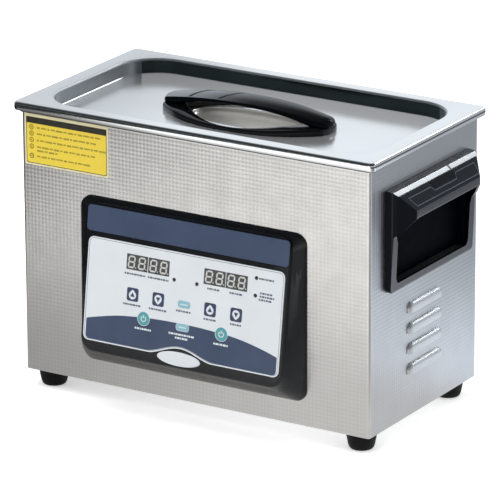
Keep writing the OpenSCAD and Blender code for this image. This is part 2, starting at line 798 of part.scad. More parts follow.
module lid() at_body() color("silver")
  difference() {
    union() {
      difference() {
        slab(lid_w, lid_d, 5, rim_z + 0.02, lid_top);
        slab(lid_w - 2, lid_d - 2, 4, rim_z + 0.82, lid_top - 1);
        // opening inside the hem that rests on the tank rim
        slab(lid_w - 11, lid_d - 11, 4, rim_z - 1, rim_z + 1);
      }
      slab(pan_w + 2 * pan_t, pan_d + 2 * pan_t, pan_r + pan_t, pan_z - pan_t, lid_top - 0.5, 8);
      slab(well_w + 2 * pan_t, well_d + 2 * pan_t, well_r + pan_t,
        pan_z - pan_t - well_h, pan_z, 6);
    }
    slab(pan_w, pan_d, pan_r, pan_z, lid_top + 1, 8);
    slab(well_w, well_d, well_r, pan_z - well_h, pan_z + 1, 6);
    for (s = [-1, 1]) translate([s * lid_screw_x, 0, pan_z - 3]) cylinder(r = 2.2, h = 6);
  }

base_h = 5.3;
seam_z = pan_z + base_h;           // seam between base and grip
cut_half = grip_half + 1;          // side profiles run past the handle's ends

// boat-shaped outline, widest in the middle
function boat_edge(x, half_l, end_w, mid_w) =
  end_w + (mid_w - end_w) * (1 - pow(abs(x) / half_l, 2.5));
module boat(half_l, end_w, mid_w)
  polygon([for (side = [-1, 1]) for (i = [-14 : 14])
    let (x = -side * half_l * i / 14) [x, side * boat_edge(x, half_l, end_w, mid_w)]]);

module lid_handle_base() at_body() color([0.03, 0.03, 0.03])
  difference() {
    intersection() {
      translate([0, 0, pan_z]) linear_extrude(base_h) difference() {
        boat(grip_half, 12.6, 39);
        boat(60, 4, 34.5);
      }
      // side profile, hollowed along the top
      rotate([90, 0, 0]) linear_extrude(100, center = true) polygon([
        [cut_half, pan_z - 1], [-cut_half, pan_z - 1],
        for (i = [-10 : 10])
          [cut_half * i / 10, seam_z - 2.2 * (1 - pow(min(1, abs(i) / 7.5), 2))]]);
    }
    for (s = [-1, 1]) translate([s * lid_screw_x, 0, pan_z - 1]) cylinder(r = 2.1, h = 10);
  }

module lid_handle_grip() at_body() color([0.03, 0.03, 0.03])
  difference() {
    intersection() {
      translate([0, 0, seam_z - 1]) linear_extrude(30) boat(grip_half, 9.5, 14);
      // side profile: arched underside, then the arched top
      rotate([90, 0, 0]) linear_extrude(100, center = true) polygon([
        [-cut_half, seam_z],
        for (i = [-12 : 12]) let (x = 62 * i / 12)
          [x, seam_z + 8.3 * (1 - pow(abs(x) / 62, 2.4))],
        [cut_half, seam_z],
        for (i = [12 : -1 : -12]) let (x = cut_half * i / 12)
          [x, seam_z + 12.5 - 7.3 * pow(abs(x) / cut_half, 2.2)]]);
    }
    for (s = [-1, 1]) translate([s * lid_screw_x, 0, seam_z - 1]) cylinder(r = 2.1, h = 4.6);
  }

module lid_handle_screws() at_body() color("lightgray")
  for (s = [-1, 1]) translate([s * lid_screw_x, 0, 0]) union() {
    translate([0, 0, pan_z - pan_t - 2.2]) cylinder(r = 3.8, h = 2.2);
    translate([0, 0, pan_z - pan_t - 1]) cylinder(r = 2, h = base_h + pan_t + 1 + 3.2);
  }

// ---------- basket ----------
basket_w = 272;
basket_d = 128;
basket_r = 8;
basket_t = 0.8;
basket_lo = floor_z + 9.7;
basket_hi = basket_lo + 60;
seam = 0.02;                       // gap left between the mesh sheets
wall_lo = basket_lo + basket_t + seam;
wall_h = basket_hi - wall_lo;
wire_r = 1.6;
wire_out = 0.4;                    // top wire's centre, outside the basket wall

// flat pierced wall in the XZ plane; holes counted each side of the middle
module mesh_wall(half, holes, pitch) difference() {
  translate([-half + seam, -basket_t / 2, wall_lo])
    cube([2 * half - 2 * seam, basket_t, wall_h]);
  rotate([90, 0, 0]) linear_extrude(4, center = true)
    for (i = [-holes : holes], j = [0 : 3])
      translate([i * pitch, basket_lo + 9.5 + j * 13.6]) square([pitch - 3.5, 10.4], center = true);
}

function quarter_arc(radius) = [for (i = [0 : 4]) radius * [cos(i * 22.5), sin(i * 22.5)]];

module corner_strip()
  linear_extrude(wall_h) difference() {
    polygon(concat([[0, 0]], quarter_arc(basket_r)));
    polygon(concat([[-1, -1], [basket_r - basket_t, -1]], quarter_arc(basket_r - basket_t),
      [[-1, basket_r - basket_t]]));
  }

module basket_mesh() at_body() color("gainsboro") {
  // floor sheet
  difference() {
    slab(basket_w, basket_d, basket_r, basket_lo, basket_lo + basket_t, 4);
    translate([0, 0, basket_lo - 1]) linear_extrude(3)
      for (i = [-8 : 8], j = [-3 : 3]) translate([i * 14.5, j * 15.5]) square([11, 12], center = true);
  }
  // front and back walls, then the end walls
  for (s = [-1, 1]) translate([0, s * (basket_d - basket_t) / 2, 0])
    mesh_wall(basket_w / 2 - basket_r, 8, 14.5);
  for (s = [-1, 1]) translate([s * (basket_w - basket_t) / 2, 0, 0]) rotate([0, 0, 90])
    mesh_wall(basket_d / 2 - basket_r, 3, 15.5);
  for (q = [0 : 3])
    translate([each corner(q, basket_w / 2 - basket_r, basket_d / 2 - basket_r), wall_lo])
      rotate([0, 0, q * 90]) corner_strip();
}

module wire(length) cylinder(r = wire_r, h = length, center = true, $fn = 24);
module wire_bend(radius)
  rotate_extrude(angle = 90) translate([radius, 0]) circle(r = wire_r, $fn = 24);

module hoop(width, depth, radius) {
  for (s = [-1, 1]) {
    translate([0, s * depth / 2, 0]) rotate([0, 90, 0]) wire(width - 2 * radius);
    translate([s * width / 2, 0, 0]) rotate([90, 0, 0]) wire(depth - 2 * radius);
  }
  for (q = [0 : 3]) translate([each corner(q, width / 2 - radius, depth / 2 - radius), 0])
    rotate([0, 0, q * 90]) wire_bend(radius);
}

// upright wire loop in the YZ plane
module bail(height, length, radius) {
  for (s = [-1, 1]) {
    translate([0, s * length / 2, 0]) cylinder(r = wire_r, h = height - radius, $fn = 24);
    translate([0, s * (length / 2 - radius), height - radius])
      rotate([0, 90, 0]) rotate([0, 0, s > 0 ? 90 : 180]) wire_bend(radius);
  }
  translate([0, 0, height]) rotate([90, 0, 0]) wire(length - 2 * radius);
}

module basket_frame() at_body() color("silver") {
  // top hoop with a bail at each end
  union() {
    translate([0, 0, basket_hi + wire_r])
      hoop(basket_w + 2 * wire_out, basket_d + 2 * wire_out, basket_r + wire_out);
    for (s = [-1, 1])
      translate([s * (basket_w / 2 + wire_out), 0, basket_hi + wire_r]) bail(17, 66, 6);
  }
  // two foot wires on short posts
  for (s = [-1, 1]) translate([s * 92, 0, 0]) union() {
    translate([0, 0, floor_z + wire_r + 0.1]) rotate([90, 0, 0]) wire(104);
    for (b = [-1, 1]) translate([0, b * 46.5, floor_z + wire_r])
      cylinder(r = wire_r - 0.2, h = basket_lo - floor_z - wire_r, $fn = 24);
  }
}

housing_shell();
bottom_plate();
bottom_screws();
feet();
foot_screws();
tank();
side_handle_right();
side_handle_left();
trim_screws();
panel_bezel();
panel_overlay();
control_board();
display_modules();
indicator_leds();
tact_switches();
info_sticker();
key_temp_up();
key_temp_down();
key_degas();
key_time_up();
key_time_down();
key_heat();
key_half_power();
key_ultrasonic();
transducer_front_masses();
piezo_rings();
transducer_back_masses();
transducer_bolts();
heater_pads();
temperature_sensor();
generator_board();
board_standoffs();
heatsink();
power_transistors();
transformer_core();
transformer_winding();
capacitors();
wiring_harness();
fan_frame();
fan_rotor();
fan_guard();
rear_screws();
power_inlet();
fuse_drawer();
fuse_link();
rocker_switch_body();
rocker();
drain_fitting();
drain_gasket();
drain_nut();
drain_valve_body();
drain_ball();
drain_stem();
drain_lever();
lid();
lid_handle_base();
lid_handle_grip();
lid_handle_screws();
basket_frame();
basket_mesh();
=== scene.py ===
"""Ultrasonic cleaner: a boxy steel machine with a lift-off lid, tank, wire basket and panel.

Lengths are millimetres, turned into metres when a mesh is made. +X is right, the control
panel faces -Y, +Z is up and the feet stand on z = 0. Shapes are drawn about the middle of
the housing, and to_metres moves them to the housing's place in the CAD frame.
A shape is (vertices, faces) or (vertices, faces, material index of each face).
"""
import json
from contextlib import contextmanager
from math import copysign, cos, pi, radians, sin, sqrt

import bpy
import bmesh
import numpy as np
from mathutils import Matrix, Vector

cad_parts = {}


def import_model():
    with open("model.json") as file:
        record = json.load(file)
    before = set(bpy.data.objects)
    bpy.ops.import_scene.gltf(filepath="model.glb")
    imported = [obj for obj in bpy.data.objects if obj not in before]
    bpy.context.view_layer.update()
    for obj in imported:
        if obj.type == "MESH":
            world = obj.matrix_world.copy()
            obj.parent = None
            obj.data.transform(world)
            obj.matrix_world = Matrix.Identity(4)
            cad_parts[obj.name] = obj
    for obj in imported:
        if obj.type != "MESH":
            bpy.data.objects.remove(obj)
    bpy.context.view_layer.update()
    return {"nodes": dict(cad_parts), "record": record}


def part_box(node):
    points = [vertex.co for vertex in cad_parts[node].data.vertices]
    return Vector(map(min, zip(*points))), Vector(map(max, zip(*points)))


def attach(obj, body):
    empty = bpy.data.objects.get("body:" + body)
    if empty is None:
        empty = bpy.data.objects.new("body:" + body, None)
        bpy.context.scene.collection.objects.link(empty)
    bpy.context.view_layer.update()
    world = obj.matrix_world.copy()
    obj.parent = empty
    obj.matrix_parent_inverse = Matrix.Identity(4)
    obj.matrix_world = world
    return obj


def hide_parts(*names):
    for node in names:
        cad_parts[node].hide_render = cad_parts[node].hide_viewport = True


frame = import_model()
shell_low, shell_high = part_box("housing_shell")
CENTRE_Y = (shell_low.y + shell_high.y) * 500.0     # middle of the housing in the frame
scene = bpy.context.scene

HALF_W, HALF_D = 157.5, 83.5            # housing, outside
WALL_BASE, WALL_TOP = 14.5, 228.5
SEAT = HALF_D + 0.02                    # where parts sit on the front and back walls
RIM_TOP = 229.3                         # tank rim
LID_TOP = 236.0
PAN_Z = 223.7                           # sunken floor of the lid
FAN_Z, FAN_SCREW = 62.0, 25             # fan on the back wall, screws at x and z +/- 25
INLET = (105, 46)                       # x, z of the parts on the back wall
SWITCH = (105, 92)
DRAIN_X, DRAIN_Z = -112.0, 52.0


# ------------------------------------------------------------------ shader graphs
class Graph:
    """A cleared node tree. Node inputs take either a value or another node's output."""

    def __init__(self, owner):
        owner.use_nodes = True
        self.tree = owner.node_tree
        self.tree.nodes.clear()

    def node(self, kind, inputs=(), **settings):
        made = self.tree.nodes.new("ShaderNode" + kind)
        for key, value in settings.items():
            setattr(made, key, value)
        for key, value in dict(inputs).items():
            if isinstance(value, bpy.types.NodeSocket):
                self.tree.links.new(value, made.inputs[key])
            else:
                made.inputs[key].default_value = value
        return made

    def add(self, kind, inputs=(), output=0, **settings):
        return self.node(kind, inputs, **settings).outputs[output]

    def remap(self, value, span, to=(0, 1), smooth=True):
        """Maps the span's two ends onto the two values of `to`."""
        return self.add("MapRange", {
            "Value": value, "From Min": span[0], "From Max": span[1],
            "To Min": to[0], "To Max": to[1],
        }, interpolation_type="SMOOTHSTEP" if smooth else "LINEAR")

    def mix(self, factor, first, second):
        return self.add("Mix", {0: factor, 6: first, 7: second}, 2, data_type="RGBA")

    def mix_shaders(self, factor, first, second):
        return self.add("MixShader", {0: factor, 1: first, 2: second})

    def math(self, operation, first, second):
        return self.add("Math", {0: first, 1: second}, operation=operation)

    def times(self, first, second):
        return self.math("MULTIPLY", first, second)


# ------------------------------------------------------------------ materials
DUST_RGB = (150, 150, 150)


def linear(rgb):
    return tuple(((x / 255.0 + 0.055) / 1.055) ** 2.4 if x > 10 else x / 255.0 / 12.92
                 for x in rgb)


def make_material(name, rgb, rough, metal, blotch, blotch_scale, rough_spread, rough_scale,
                  bump, bump_scale, stretch=(1, 1, 1), spec=0.5, dust=0.0, speck=0.0,
                  tint=None, groove=0.0, painted_glow=0.0, painted_light_x_fade=None, painted_light_x_dark=0.5):
    """Principled surface with noise in its colour, roughness and relief.

    dust lies on upward faces, speck adds dark dots, groove paints shade into the pressed
    grooves by the "groove" attribute, tint is the colour of the lighter blotches, glow is
    painted light that glossy rays see in place of the surface, and painted_light_x_fade (span,
    amounts) paints shade along object X, towards painted_light_x_dark times the colour.
    """
    material = bpy.data.materials.new(name)
    graph = Graph(material)
    place = graph.node("TexCoord").outputs["Object"]
    stretched = graph.add("Mapping", {"Vector": place, "Scale": stretch})
    base = linear(rgb)

    def noise(scale, detail=4.0, roughness=0.55):
        return graph.add("TexNoise", {"Vector": stretched, "Scale": scale, "Detail": detail,
                                      "Roughness": roughness})

    def spread(value, low, high):
        return graph.remap(value, (0.3, 0.7), to=(low, high), smooth=False)

    def speck_and_painted_shade_tone(amount):
        return tuple(x * amount for x in base) + (1,)

    dark = tuple(max(0.0, x * (1 - blotch)) for x in base) + (1,)
    light = tuple(min(1.0, x * (1 + blotch)) for x in (linear(tint) if tint else base)) + (1,)
    colour = graph.mix(spread(noise(blotch_scale), 0, 1), dark, light)
    if speck:
        cells = graph.add("TexVoronoi", {"Vector": stretched, "Scale": 420.0}, "Distance")
        dots = graph.remap(cells, (0.02, 0.09), to=(speck, 0), smooth=False)
        colour = graph.mix(dots, colour, speck_and_painted_shade_tone(0.45))
    roughness = spread(noise(rough_scale), max(0.02, rough - rough_spread / 2),
                       min(1.0, rough + rough_spread / 2))
    if dust:
        normal = graph.add("NewGeometry", output="Normal")
        upward = graph.add("SeparateXYZ", {0: normal}, "Z")
        amount = graph.times(graph.remap(upward, (0.3, 1.0), to=(0, dust), smooth=False),
                             spread(noise(220.0, detail=6.0, roughness=0.7), 0, 1))
        colour = graph.mix(amount, colour, linear(DUST_RGB) + (1,))
    # painted shade in the pressed grooves
    if groove:
        pressed = graph.add("Attribute", output="Fac", attribute_name="groove")
        colour = graph.mix(graph.times(pressed, groove), colour, speck_and_painted_shade_tone(0.25))
    # painted shade along object X, which also fades a painted highlight
    if painted_light_x_fade:
        along_x = graph.add("SeparateXYZ", {0: place}, "X")
        colour = graph.mix(graph.remap(along_x, painted_light_x_fade[0], to=painted_light_x_fade[1]), colour,
                           speck_and_painted_shade_tone(painted_light_x_dark))
    inputs = {"Base Color": colour, "Roughness": roughness, "Metallic": metal,
              "Specular IOR Level": spec, "Coat Roughness": 0.06}
    if bump:
        inputs["Normal"] = graph.add("Bump", {
            "Strength": bump, "Distance": 0.0002, "Height": noise(bump_scale, detail=2.0)})
    shader = graph.add("BsdfPrincipled", inputs)
    if painted_glow:
        # painted reflection: glossy rays see a plain bright emission in place of the dark
        # surface
        reflected = graph.add("LightPath", output="Is Glossy Ray")
        room = graph.add("Emission", {"Color": (0.93, 0.97, 1.0, 1), "Strength": painted_glow})
        shader = graph.mix_shaders(reflected, shader, room)
    graph.node("OutputMaterial", {"Surface": shader})
    return material


# name, sRGB colour, roughness, metallic, colour variation and its noise scale,
# roughness variation and its noise scale, bump strength and its noise scale
FINISHES = [
    ("steel_embossed", (206, 205, 203), 0.34, 1.0, 0.035, 14, 0.06, 60, 0.05, 1800),
    # painted shade: the side walls are the front's sheet in a darker, cooler copy
    ("steel_side", (190, 192, 195), 0.34, 1.0, 0.035, 14, 0.06, 60, 0.05, 1800),
    ("steel_satin", (248, 249, 250), 0.18, 0.86, 0.02, 10, 0.03, 30, 0.006, 1500),
    ("steel_polished", (224, 226, 228), 0.13, 1.0, 0.03, 20, 0.05, 40, 0.004, 1200),
    # painted shade and painted reflection: steel_wall, steel_lip, steel_soft, steel_end and
    # steel_bowl are copies of the lid's one sheet, darker or lighter by where they face
    ("steel_wall", (92, 105, 107), 0.12, 1.0, 0.03, 20, 0.04, 40, 0.0, 1200),
    ("steel_lip", (224, 226, 228), 0.14, 1.0, 0.03, 20, 0.05, 40, 0.004, 1200),
    ("steel_tank", (214, 217, 221), 0.30, 0.70, 0.04, 20, 0.06, 40, 0.0, 1200),
    ("steel_soft", (196, 200, 204), 0.46, 0.9, 0.03, 20, 0.06, 60, 0.01, 1200),
    ("steel_end", (176, 180, 184), 0.24, 1.0, 0.03, 20, 0.06, 60, 0.01, 1200),
    ("steel_bowl", (236, 233, 226), 0.30, 0.55, 0.03, 20, 0.06, 60, 0.01, 1200),
    # painted highlight along the side grip's raised hairlines
    ("line_grey", (66, 74, 86), 0.35, 0.0, 0.06, 60, 0.06, 60, 0.02, 1200),
    # painted light: the louvres are the side sheet in a paler, less metallic copy
    ("steel_louvre", (206, 209, 213), 0.44, 0.72, 0.03, 20, 0.06, 60, 0.03, 1800),
    # painted highlight: a lighter, glossier copy of the side grip's black for faces towards +X
    ("black_frame", (34, 38, 46), 0.30, 0.0, 0.10, 60, 0.08, 160, 0.08, 2000),
    ("zinc_steel", (176, 178, 180), 0.32, 1.0, 0.12, 150, 0.2, 200, 0.12, 1500),
    ("aluminium", (190, 191, 193), 0.36, 1.0, 0.06, 60, 0.16, 150, 0.12, 1800),
    ("aluminium_black", (28, 29, 31), 0.42, 0.6, 0.15, 80, 0.15, 150, 0.12, 1500),
    ("brass", (196, 186, 160), 0.24, 1.0, 0.08, 60, 0.16, 120, 0.08, 900),
    ("black_rubber", (9, 10, 11), 0.6, 0.0, 0.18, 90, 0.2, 200, 0.3, 1500),
    ("black_gloss", (6, 7, 9), 0.12, 0.0, 0.12, 30, 0.05, 120, 0.02, 500),
    ("black_grip", (6, 8, 11), 0.16, 0.0, 0.12, 30, 0.06, 120, 0.02, 500),
    # painted highlight: the grip's crown in light grey, darkening towards +X
    ("arch_painted_highlight", (112, 118, 123), 0.16, 0.0, 0.06, 30, 0.06, 120, 0.02, 500),
    ("black_side", (4, 10, 20), 0.17, 0.0, 0.12, 30, 0.06, 120, 0.03, 700),
    # painted highlight: the side grip's narrow upper facet in grey
    ("strip_painted_highlight", (92, 100, 108), 0.20, 0.12, 0.08, 30, 0.06, 120, 0.02, 700),
    ("black_satin", (15, 18, 21), 0.24, 0.0, 0.10, 60, 0.08, 160, 0.08, 2400),
    ("black_matte", (22, 22, 24), 0.55, 0.0, 0.12, 80, 0.16, 180, 0.25, 2400),
    ("white_film", (220, 225, 230), 0.36, 0.0, 0.02, 30, 0.10, 120, 0.05, 2600),
    ("navy_film", (59, 73, 99), 0.33, 0.0, 0.05, 30, 0.03, 40, 0.0, 2600),
    ("navy_key", (52, 66, 96), 0.38, 0.0, 0.05, 60, 0.10, 200, 0.08, 2600),
    ("teal_key", (80, 160, 165), 0.36, 0.0, 0.06, 60, 0.10, 200, 0.08, 2600),
    ("cyan_key", (138, 190, 202), 0.36, 0.0, 0.05, 60, 0.10, 200, 0.08, 2600),
    ("display_grey", (72, 73, 74), 0.3, 0.0, 0.05, 60, 0.10, 200, 0.05, 2600),
    ("digit_off", (206, 206, 204), 0.4, 0.0, 0.05, 200, 0.10, 400, 0.05, 2600),
    ("led_dark", (46, 48, 54), 0.16, 0.0, 0.15, 300, 0.10, 400, 0.05, 2600),
    ("print_grey", (92, 100, 118), 0.4, 0.0, 0.05, 200, 0.10, 400, 0.05, 2600),
    ("pcb_green", (24, 74, 46), 0.34, 0.0, 0.15, 120, 0.12, 200, 0.12, 1500),
    ("component_black", (26, 26, 28), 0.5, 0.0, 0.12, 200, 0.16, 300, 0.2, 2200),
    ("ferrite", (52, 50, 50), 0.62, 0.1, 0.14, 200, 0.16, 300, 0.35, 1800),
    ("copper_winding", (176, 92, 46), 0.26, 0.9, 0.15, 60, 0.15, 120, 0.6, 900),
    ("piezo_ceramic", (214, 206, 186), 0.55, 0.0, 0.06, 200, 0.12, 300, 0.2, 2200),
    ("dark_steel", (98, 99, 102), 0.38, 1.0, 0.12, 120, 0.18, 150, 0.12, 1500),
    ("capacitor_sleeve", (34, 44, 92), 0.32, 0.0, 0.12, 60, 0.12, 120, 0.1, 1500),
    ("heater_orange", (190, 84, 42), 0.6, 0.0, 0.08, 60, 0.12, 120, 0.4, 900),
    ("red_wire", (168, 32, 26), 0.42, 0.0, 0.12, 90, 0.12, 120, 0.1, 1500),
    ("nylon", (222, 217, 202), 0.48, 0.0, 0.04, 90, 0.12, 120, 0.1, 1500),
    ("lever_red", (166, 34, 30), 0.3, 0.0, 0.1, 60, 0.14, 100, 0.08, 900),
    ("label_yellow", (236, 212, 72), 0.45, 0.0, 0.05, 25, 0.12, 120, 0.08, 2200),
    ("label_pale", (226, 218, 176), 0.45, 0.0, 0.04, 25, 0.12, 120, 0.08, 2200),
    ("label_ink", (38, 36, 24), 0.5, 0.0, 0.12, 25, 0.12, 120, 0.08, 2200),
    ("label_olive", (96, 84, 22), 0.5, 0.0, 0.10, 300, 0.12, 120, 0.05, 2200),
    ("fuse_glass", (205, 215, 216), 0.08, 0.0, 0.05, 200, 0.06, 300, 0.02, 900),
    # painted shade: the inside of the side grip's pocket
    ("cavity_dark", (2, 4, 9), 0.5, 0.0, 0.12, 60, 0.10, 120, 0.10, 1500),
]
FINISH_EXTRAS = {
    # painted shade: groove darkens the pressed grooves of the housing walls
    "steel_embossed": dict(groove=0.13),
    "steel_side": dict(groove=0.10),
    # painted light: steel_satin and steel_lip darken towards -X, and steel_wall shows a bright
    # emission in reflections
    "steel_satin": dict(painted_light_x_fade=((-0.13, 0.0), (0.62, 0.0))),
    "steel_wall": dict(painted_glow=0.26),
    "steel_lip": dict(painted_light_x_fade=((-0.155, 0.03), (1.0, 0.0)), painted_light_x_dark=0.22),
    "black_frame": dict(spec=0.8),
    "aluminium_black": dict(dust=0.2),
    "brass": dict(tint=(205, 200, 185)),
    "black_rubber": dict(dust=0.04, spec=0.16),
    "black_gloss": dict(dust=0.008, spec=0.45),
    "black_grip": dict(dust=0.005, spec=0.11),
    # painted highlight fading to black towards +X
    "arch_painted_highlight": dict(spec=0.11, painted_light_x_fade=((-0.066, 0.012), (0.0, 1.0)), painted_light_x_dark=0.012),
    "black_side": dict(spec=0.20),
    "strip_painted_highlight": dict(spec=0.9),
    "black_satin": dict(dust=0.01, spec=0.36),
    "black_matte": dict(dust=0.12),
    "navy_film": dict(tint=(64, 77, 103), spec=0.34),
    "led_dark": dict(spec=0.7),
    "pcb_green": dict(tint=(38, 96, 60), speck=0.5),
    "component_black": dict(dust=0.15),
    "copper_winding": dict(stretch=(1, 1, 5)),
    "piezo_ceramic": dict(speck=0.25),
    "label_yellow": dict(tint=(232, 204, 56)),
    "fuse_glass": dict(spec=0.8),
    "cavity_dark": dict(spec=0.02),
}
MATERIALS = {row[0]: make_material(*row, **FINISH_EXTRAS.get(row[0], {})) for row in FINISHES}


# ------------------------------------------------------------------ outlines
def rounded_rect(width, depth, radius, n=8):
    """Outline of 4 * (n + 1) points, anticlockwise from the right side."""
    radius = max(min(radius, width / 2 - 1e-3, depth / 2 - 1e-3), 1e-3)
    points = []
    for q, (sx, sy) in enumerate(((1, 1), (-1, 1), (-1, -1), (1, -1))):
        for i in range(n + 1):
            angle = q * pi / 2 + i * pi / 2 / n
            points.append((sx * (width / 2 - radius) + radius * cos(angle),
                           sy * (depth / 2 - radius) + radius * sin(angle)))
    return np.array(points)


def superellipse(half_w, half_d, n, power):
    """Same count and order as rounded_rect; a nudge keeps the quarter ends distinct."""
    points = []
    for q in range(4):
        for i in range(n + 1):
            angle = q * pi / 2 + i * pi / 2 / n
            if q and i == 0:
                angle += 1e-4
            c, s = cos(angle), sin(angle)
            points.append((half_w * copysign(abs(c) ** (2 / power), c),
                           half_d * copysign(abs(s) ** (2 / power), s)))
    return np.array(points)


def circle(radius, n, centre=(0, 0), start=0.0):
    t = np.arange(n) * 2 * pi / n + start
    return np.column_stack([centre[0] + radius * np.cos(t), centre[1] + radius * np.sin(t)])


def moved(outline, offset):
    return np.asarray(outline, float) + np.array(offset, float)


def scaled(outline, factor, centre=None):
    centre = outline.mean(0) if centre is None else np.array(centre)
    return (outline - centre) * factor + centre


def round_corners(outline, radius, n=4):
    outline = np.asarray(outline, float)
    points = []
    for i, corner in enumerate(outline):
        back = outline[i - 1] - corner
        ahead = outline[(i + 1) % len(outline)] - corner
        back_len, ahead_len = np.linalg.norm(back), np.linalg.norm(ahead)
        reach = min(radius, back_len * 0.45, ahead_len * 0.45)
        start = corner + back / back_len * reach
        end = corner + ahead / ahead_len * reach
        for k in range(n + 1):
            t = k / n
            points.append((1 - t) ** 2 * start + 2 * t * (1 - t) * corner + t * t * end)
    return np.array(points)


def at_z(outline, z):
    """Stands an (x, y) outline at height z."""
    outline = np.asarray(outline, float)
    return np.column_stack([outline[:, 0], outline[:, 1], np.full(len(outline), z)])


def at_y(outline, y):
    """Stands an (x, z) outline at y."""
    outline = np.asarray(outline, float)
    return np.column_stack([outline[:, 0], np.full(len(outline), y), outline[:, 1]])


def at_x(outline, x):
    """Stands a (y, z) outline at x."""
    outline = np.asarray(outline, float)
    return np.column_stack([np.full(len(outline), x), outline[:, 0], outline[:, 1]])


def level_rect(width, depth, radius, z, n=8):
    return at_z(rounded_rect(width, depth, radius, n), z)


# ------------------------------------------------------------------ shapes
BOX_FACES = [(0, 3, 2, 1), (4, 5, 6, 7), (0, 1, 5, 4), (1, 2, 6, 5), (2, 3, 7, 6), (3, 0, 4, 7)]


def merge_painted(parts):
    """Joins shapes; a part's third entry is the material index of its faces."""
    verts, faces, paint, start = [], [], [], 0
    for part_verts, part_faces, *index in parts:
        part_verts = np.asarray(part_verts, float).reshape(-1, 3)
        verts.append(part_verts)
        faces += [tuple(i + start for i in face) for face in part_faces]
        paint += [index[0] if index else 0] * len(part_faces)
        start += len(part_verts)
    return np.vstack(verts), faces, paint


def merge(parts):
    return merge_painted(parts)[:2]


def flipped(shape):
    return shape[0], [face[::-1] for face in shape[1]]


def loft(rings, cap_start=False, cap_end=False, closed=True):
    n = len(rings[0])
    verts = np.vstack([np.asarray(ring, float) for ring in rings])
    faces = []
    for i in range(len(rings) - 1):
        for j in range(n if closed else n - 1):
            k = (j + 1) % n
            faces.append((i * n + j, i * n + k, (i + 1) * n + k, (i + 1) * n + j))
    if cap_start:
        faces.append(tuple(range(n - 1, -1, -1)))
    if cap_end:
        last = (len(rings) - 1) * n
        faces.append(tuple(last + j for j in range(n)))
    return verts, faces


def extrude(outline, place, start, end):
    """Capped prism; place is at_x, at_y, at_z or on_panel."""
    return loft([place(outline, start), place(outline, end)], True, True)


def box(low, high):
    (x0, y0, z0), (x1, y1, z1) = low, high
    verts = [(x, y, z) for z in (z0, z1) for x, y in ((x0, y0), (x1, y0), (x1, y1), (x0, y1))]
    return np.array(verts, float), BOX_FACES


def box_about(centre, half_w, half_h, y0, y1):
    """Box centred on an (x, z) place, from y0 to y1."""
    x, z = centre
    return box((x - half_w, y0, z - half_h), (x + half_w, y1, z + half_h))


def lathe(profile, centre, axis, n, close=False):
    """Turns (radius, height) points; close joins the last ring to the first."""
    t = np.arange(n) * 2 * pi / n
    rings = []
    for radius, height in profile:
        radius = max(radius, 1e-3)
        x, y = radius * np.cos(t), radius * np.sin(t)
        z = np.full(n, height)
        columns = {"z": [x, y, z], "y": [x, z, -y], "x": [z, x, y]}[axis]
        rings.append(np.column_stack(columns) + np.array(centre, float))
    verts, faces = loft(rings, not close, not close)
    if close:
        last = (len(rings) - 1) * n
        for j in range(n):
            k = (j + 1) % n
            faces.append((last + j, last + k, k, j))
    return verts, faces


def cylinder(radius, start, end, centre, axis, n):
    return lathe([(radius, start), (radius, end)], centre, axis, n)


def tube(path, radius, n, closed=False):
    path = np.asarray(path, float)
    if closed:
        tangents = np.roll(path, -1, 0) - np.roll(path, 1, 0)
    else:
        tangents = np.gradient(path, axis=0)
    tangents /= np.linalg.norm(tangents, axis=1)[:, None] + 1e-12
    reference = np.array([0, 0, 1.0])
    if abs(tangents[0] @ reference) > 0.9:
        reference = np.array([1.0, 0, 0])
    normal = np.cross(tangents[0], reference)
    normal /= np.linalg.norm(normal)
    t = np.arange(n) * 2 * pi / n
    rings = []
    for point, tangent in zip(path, tangents):
        normal = normal - (normal @ tangent) * tangent
        normal /= np.linalg.norm(normal)
        side = np.cross(tangent, normal)
        rings.append(point + radius * (np.cos(t)[:, None] * normal + np.sin(t)[:, None] * side))
    if not closed:
        return loft(rings, True, True)
    verts, faces = loft(rings)
    last = (len(path) - 1) * n
    # the seam starts at the first ring's nearest point, to undo the twist
    shift = int(np.argmin(np.linalg.norm(rings[0] - rings[-1][0], axis=1)))
    for j in range(n):
        faces.append((last + j, last + (j + 1) % n, (shift + j + 1) % n, (shift + j) % n))
    return verts, faces


# ------------------------------------------------------------------ objects
def to_metres(verts):
    verts = np.asarray(verts, float).reshape(-1, 3)
    return (verts + np.array([0, CENTRE_Y, 0])) * 0.001


def new_object(name, shape, materials):
    mesh = bpy.data.meshes.new(name)
    mesh.from_pydata([tuple(p) for p in to_metres(shape[0])], [],
                     [tuple(int(i) for i in face) for face in shape[1]])
    ob = bpy.data.objects.new(name, mesh)
    scene.collection.objects.link(ob)
    add_materials(ob, materials)
    if len(shape) > 2:
        mesh.polygons.foreach_set("material_index", np.asarray(shape[2], np.int32))
    mesh.update()
    return ob


def add_materials(ob, materials):
    for material in materials:
        ob.data.materials.append(
            MATERIALS[material] if isinstance(material, str) else material)


@contextmanager
def edited(ob):
    """Opens the object's mesh as a bmesh and writes it back."""
    bm = bmesh.new()
    bm.from_mesh(ob.data)
    yield bm
    bm.to_mesh(ob.data)
    bm.free()


def fix_normals(ob):
    with edited(ob) as bm:
        bmesh.ops.recalc_face_normals(bm, faces=bm.faces)


def weld(ob, distance):
    """Distance is in metres."""
    with edited(ob) as bm:
        bmesh.ops.remove_doubles(bm, verts=bm.verts, dist=distance)
        bmesh.ops.dissolve_degenerate(bm, edges=bm.edges, dist=1e-7)


def solid(name, shape, materials):
    ob = new_object(name, shape, materials)
    fix_normals(ob)
    return ob


def add_modifier(ob, kind, **settings):
    made = ob.modifiers.new(kind.lower(), kind)
    for key, value in settings.items():
        setattr(made, key, value)


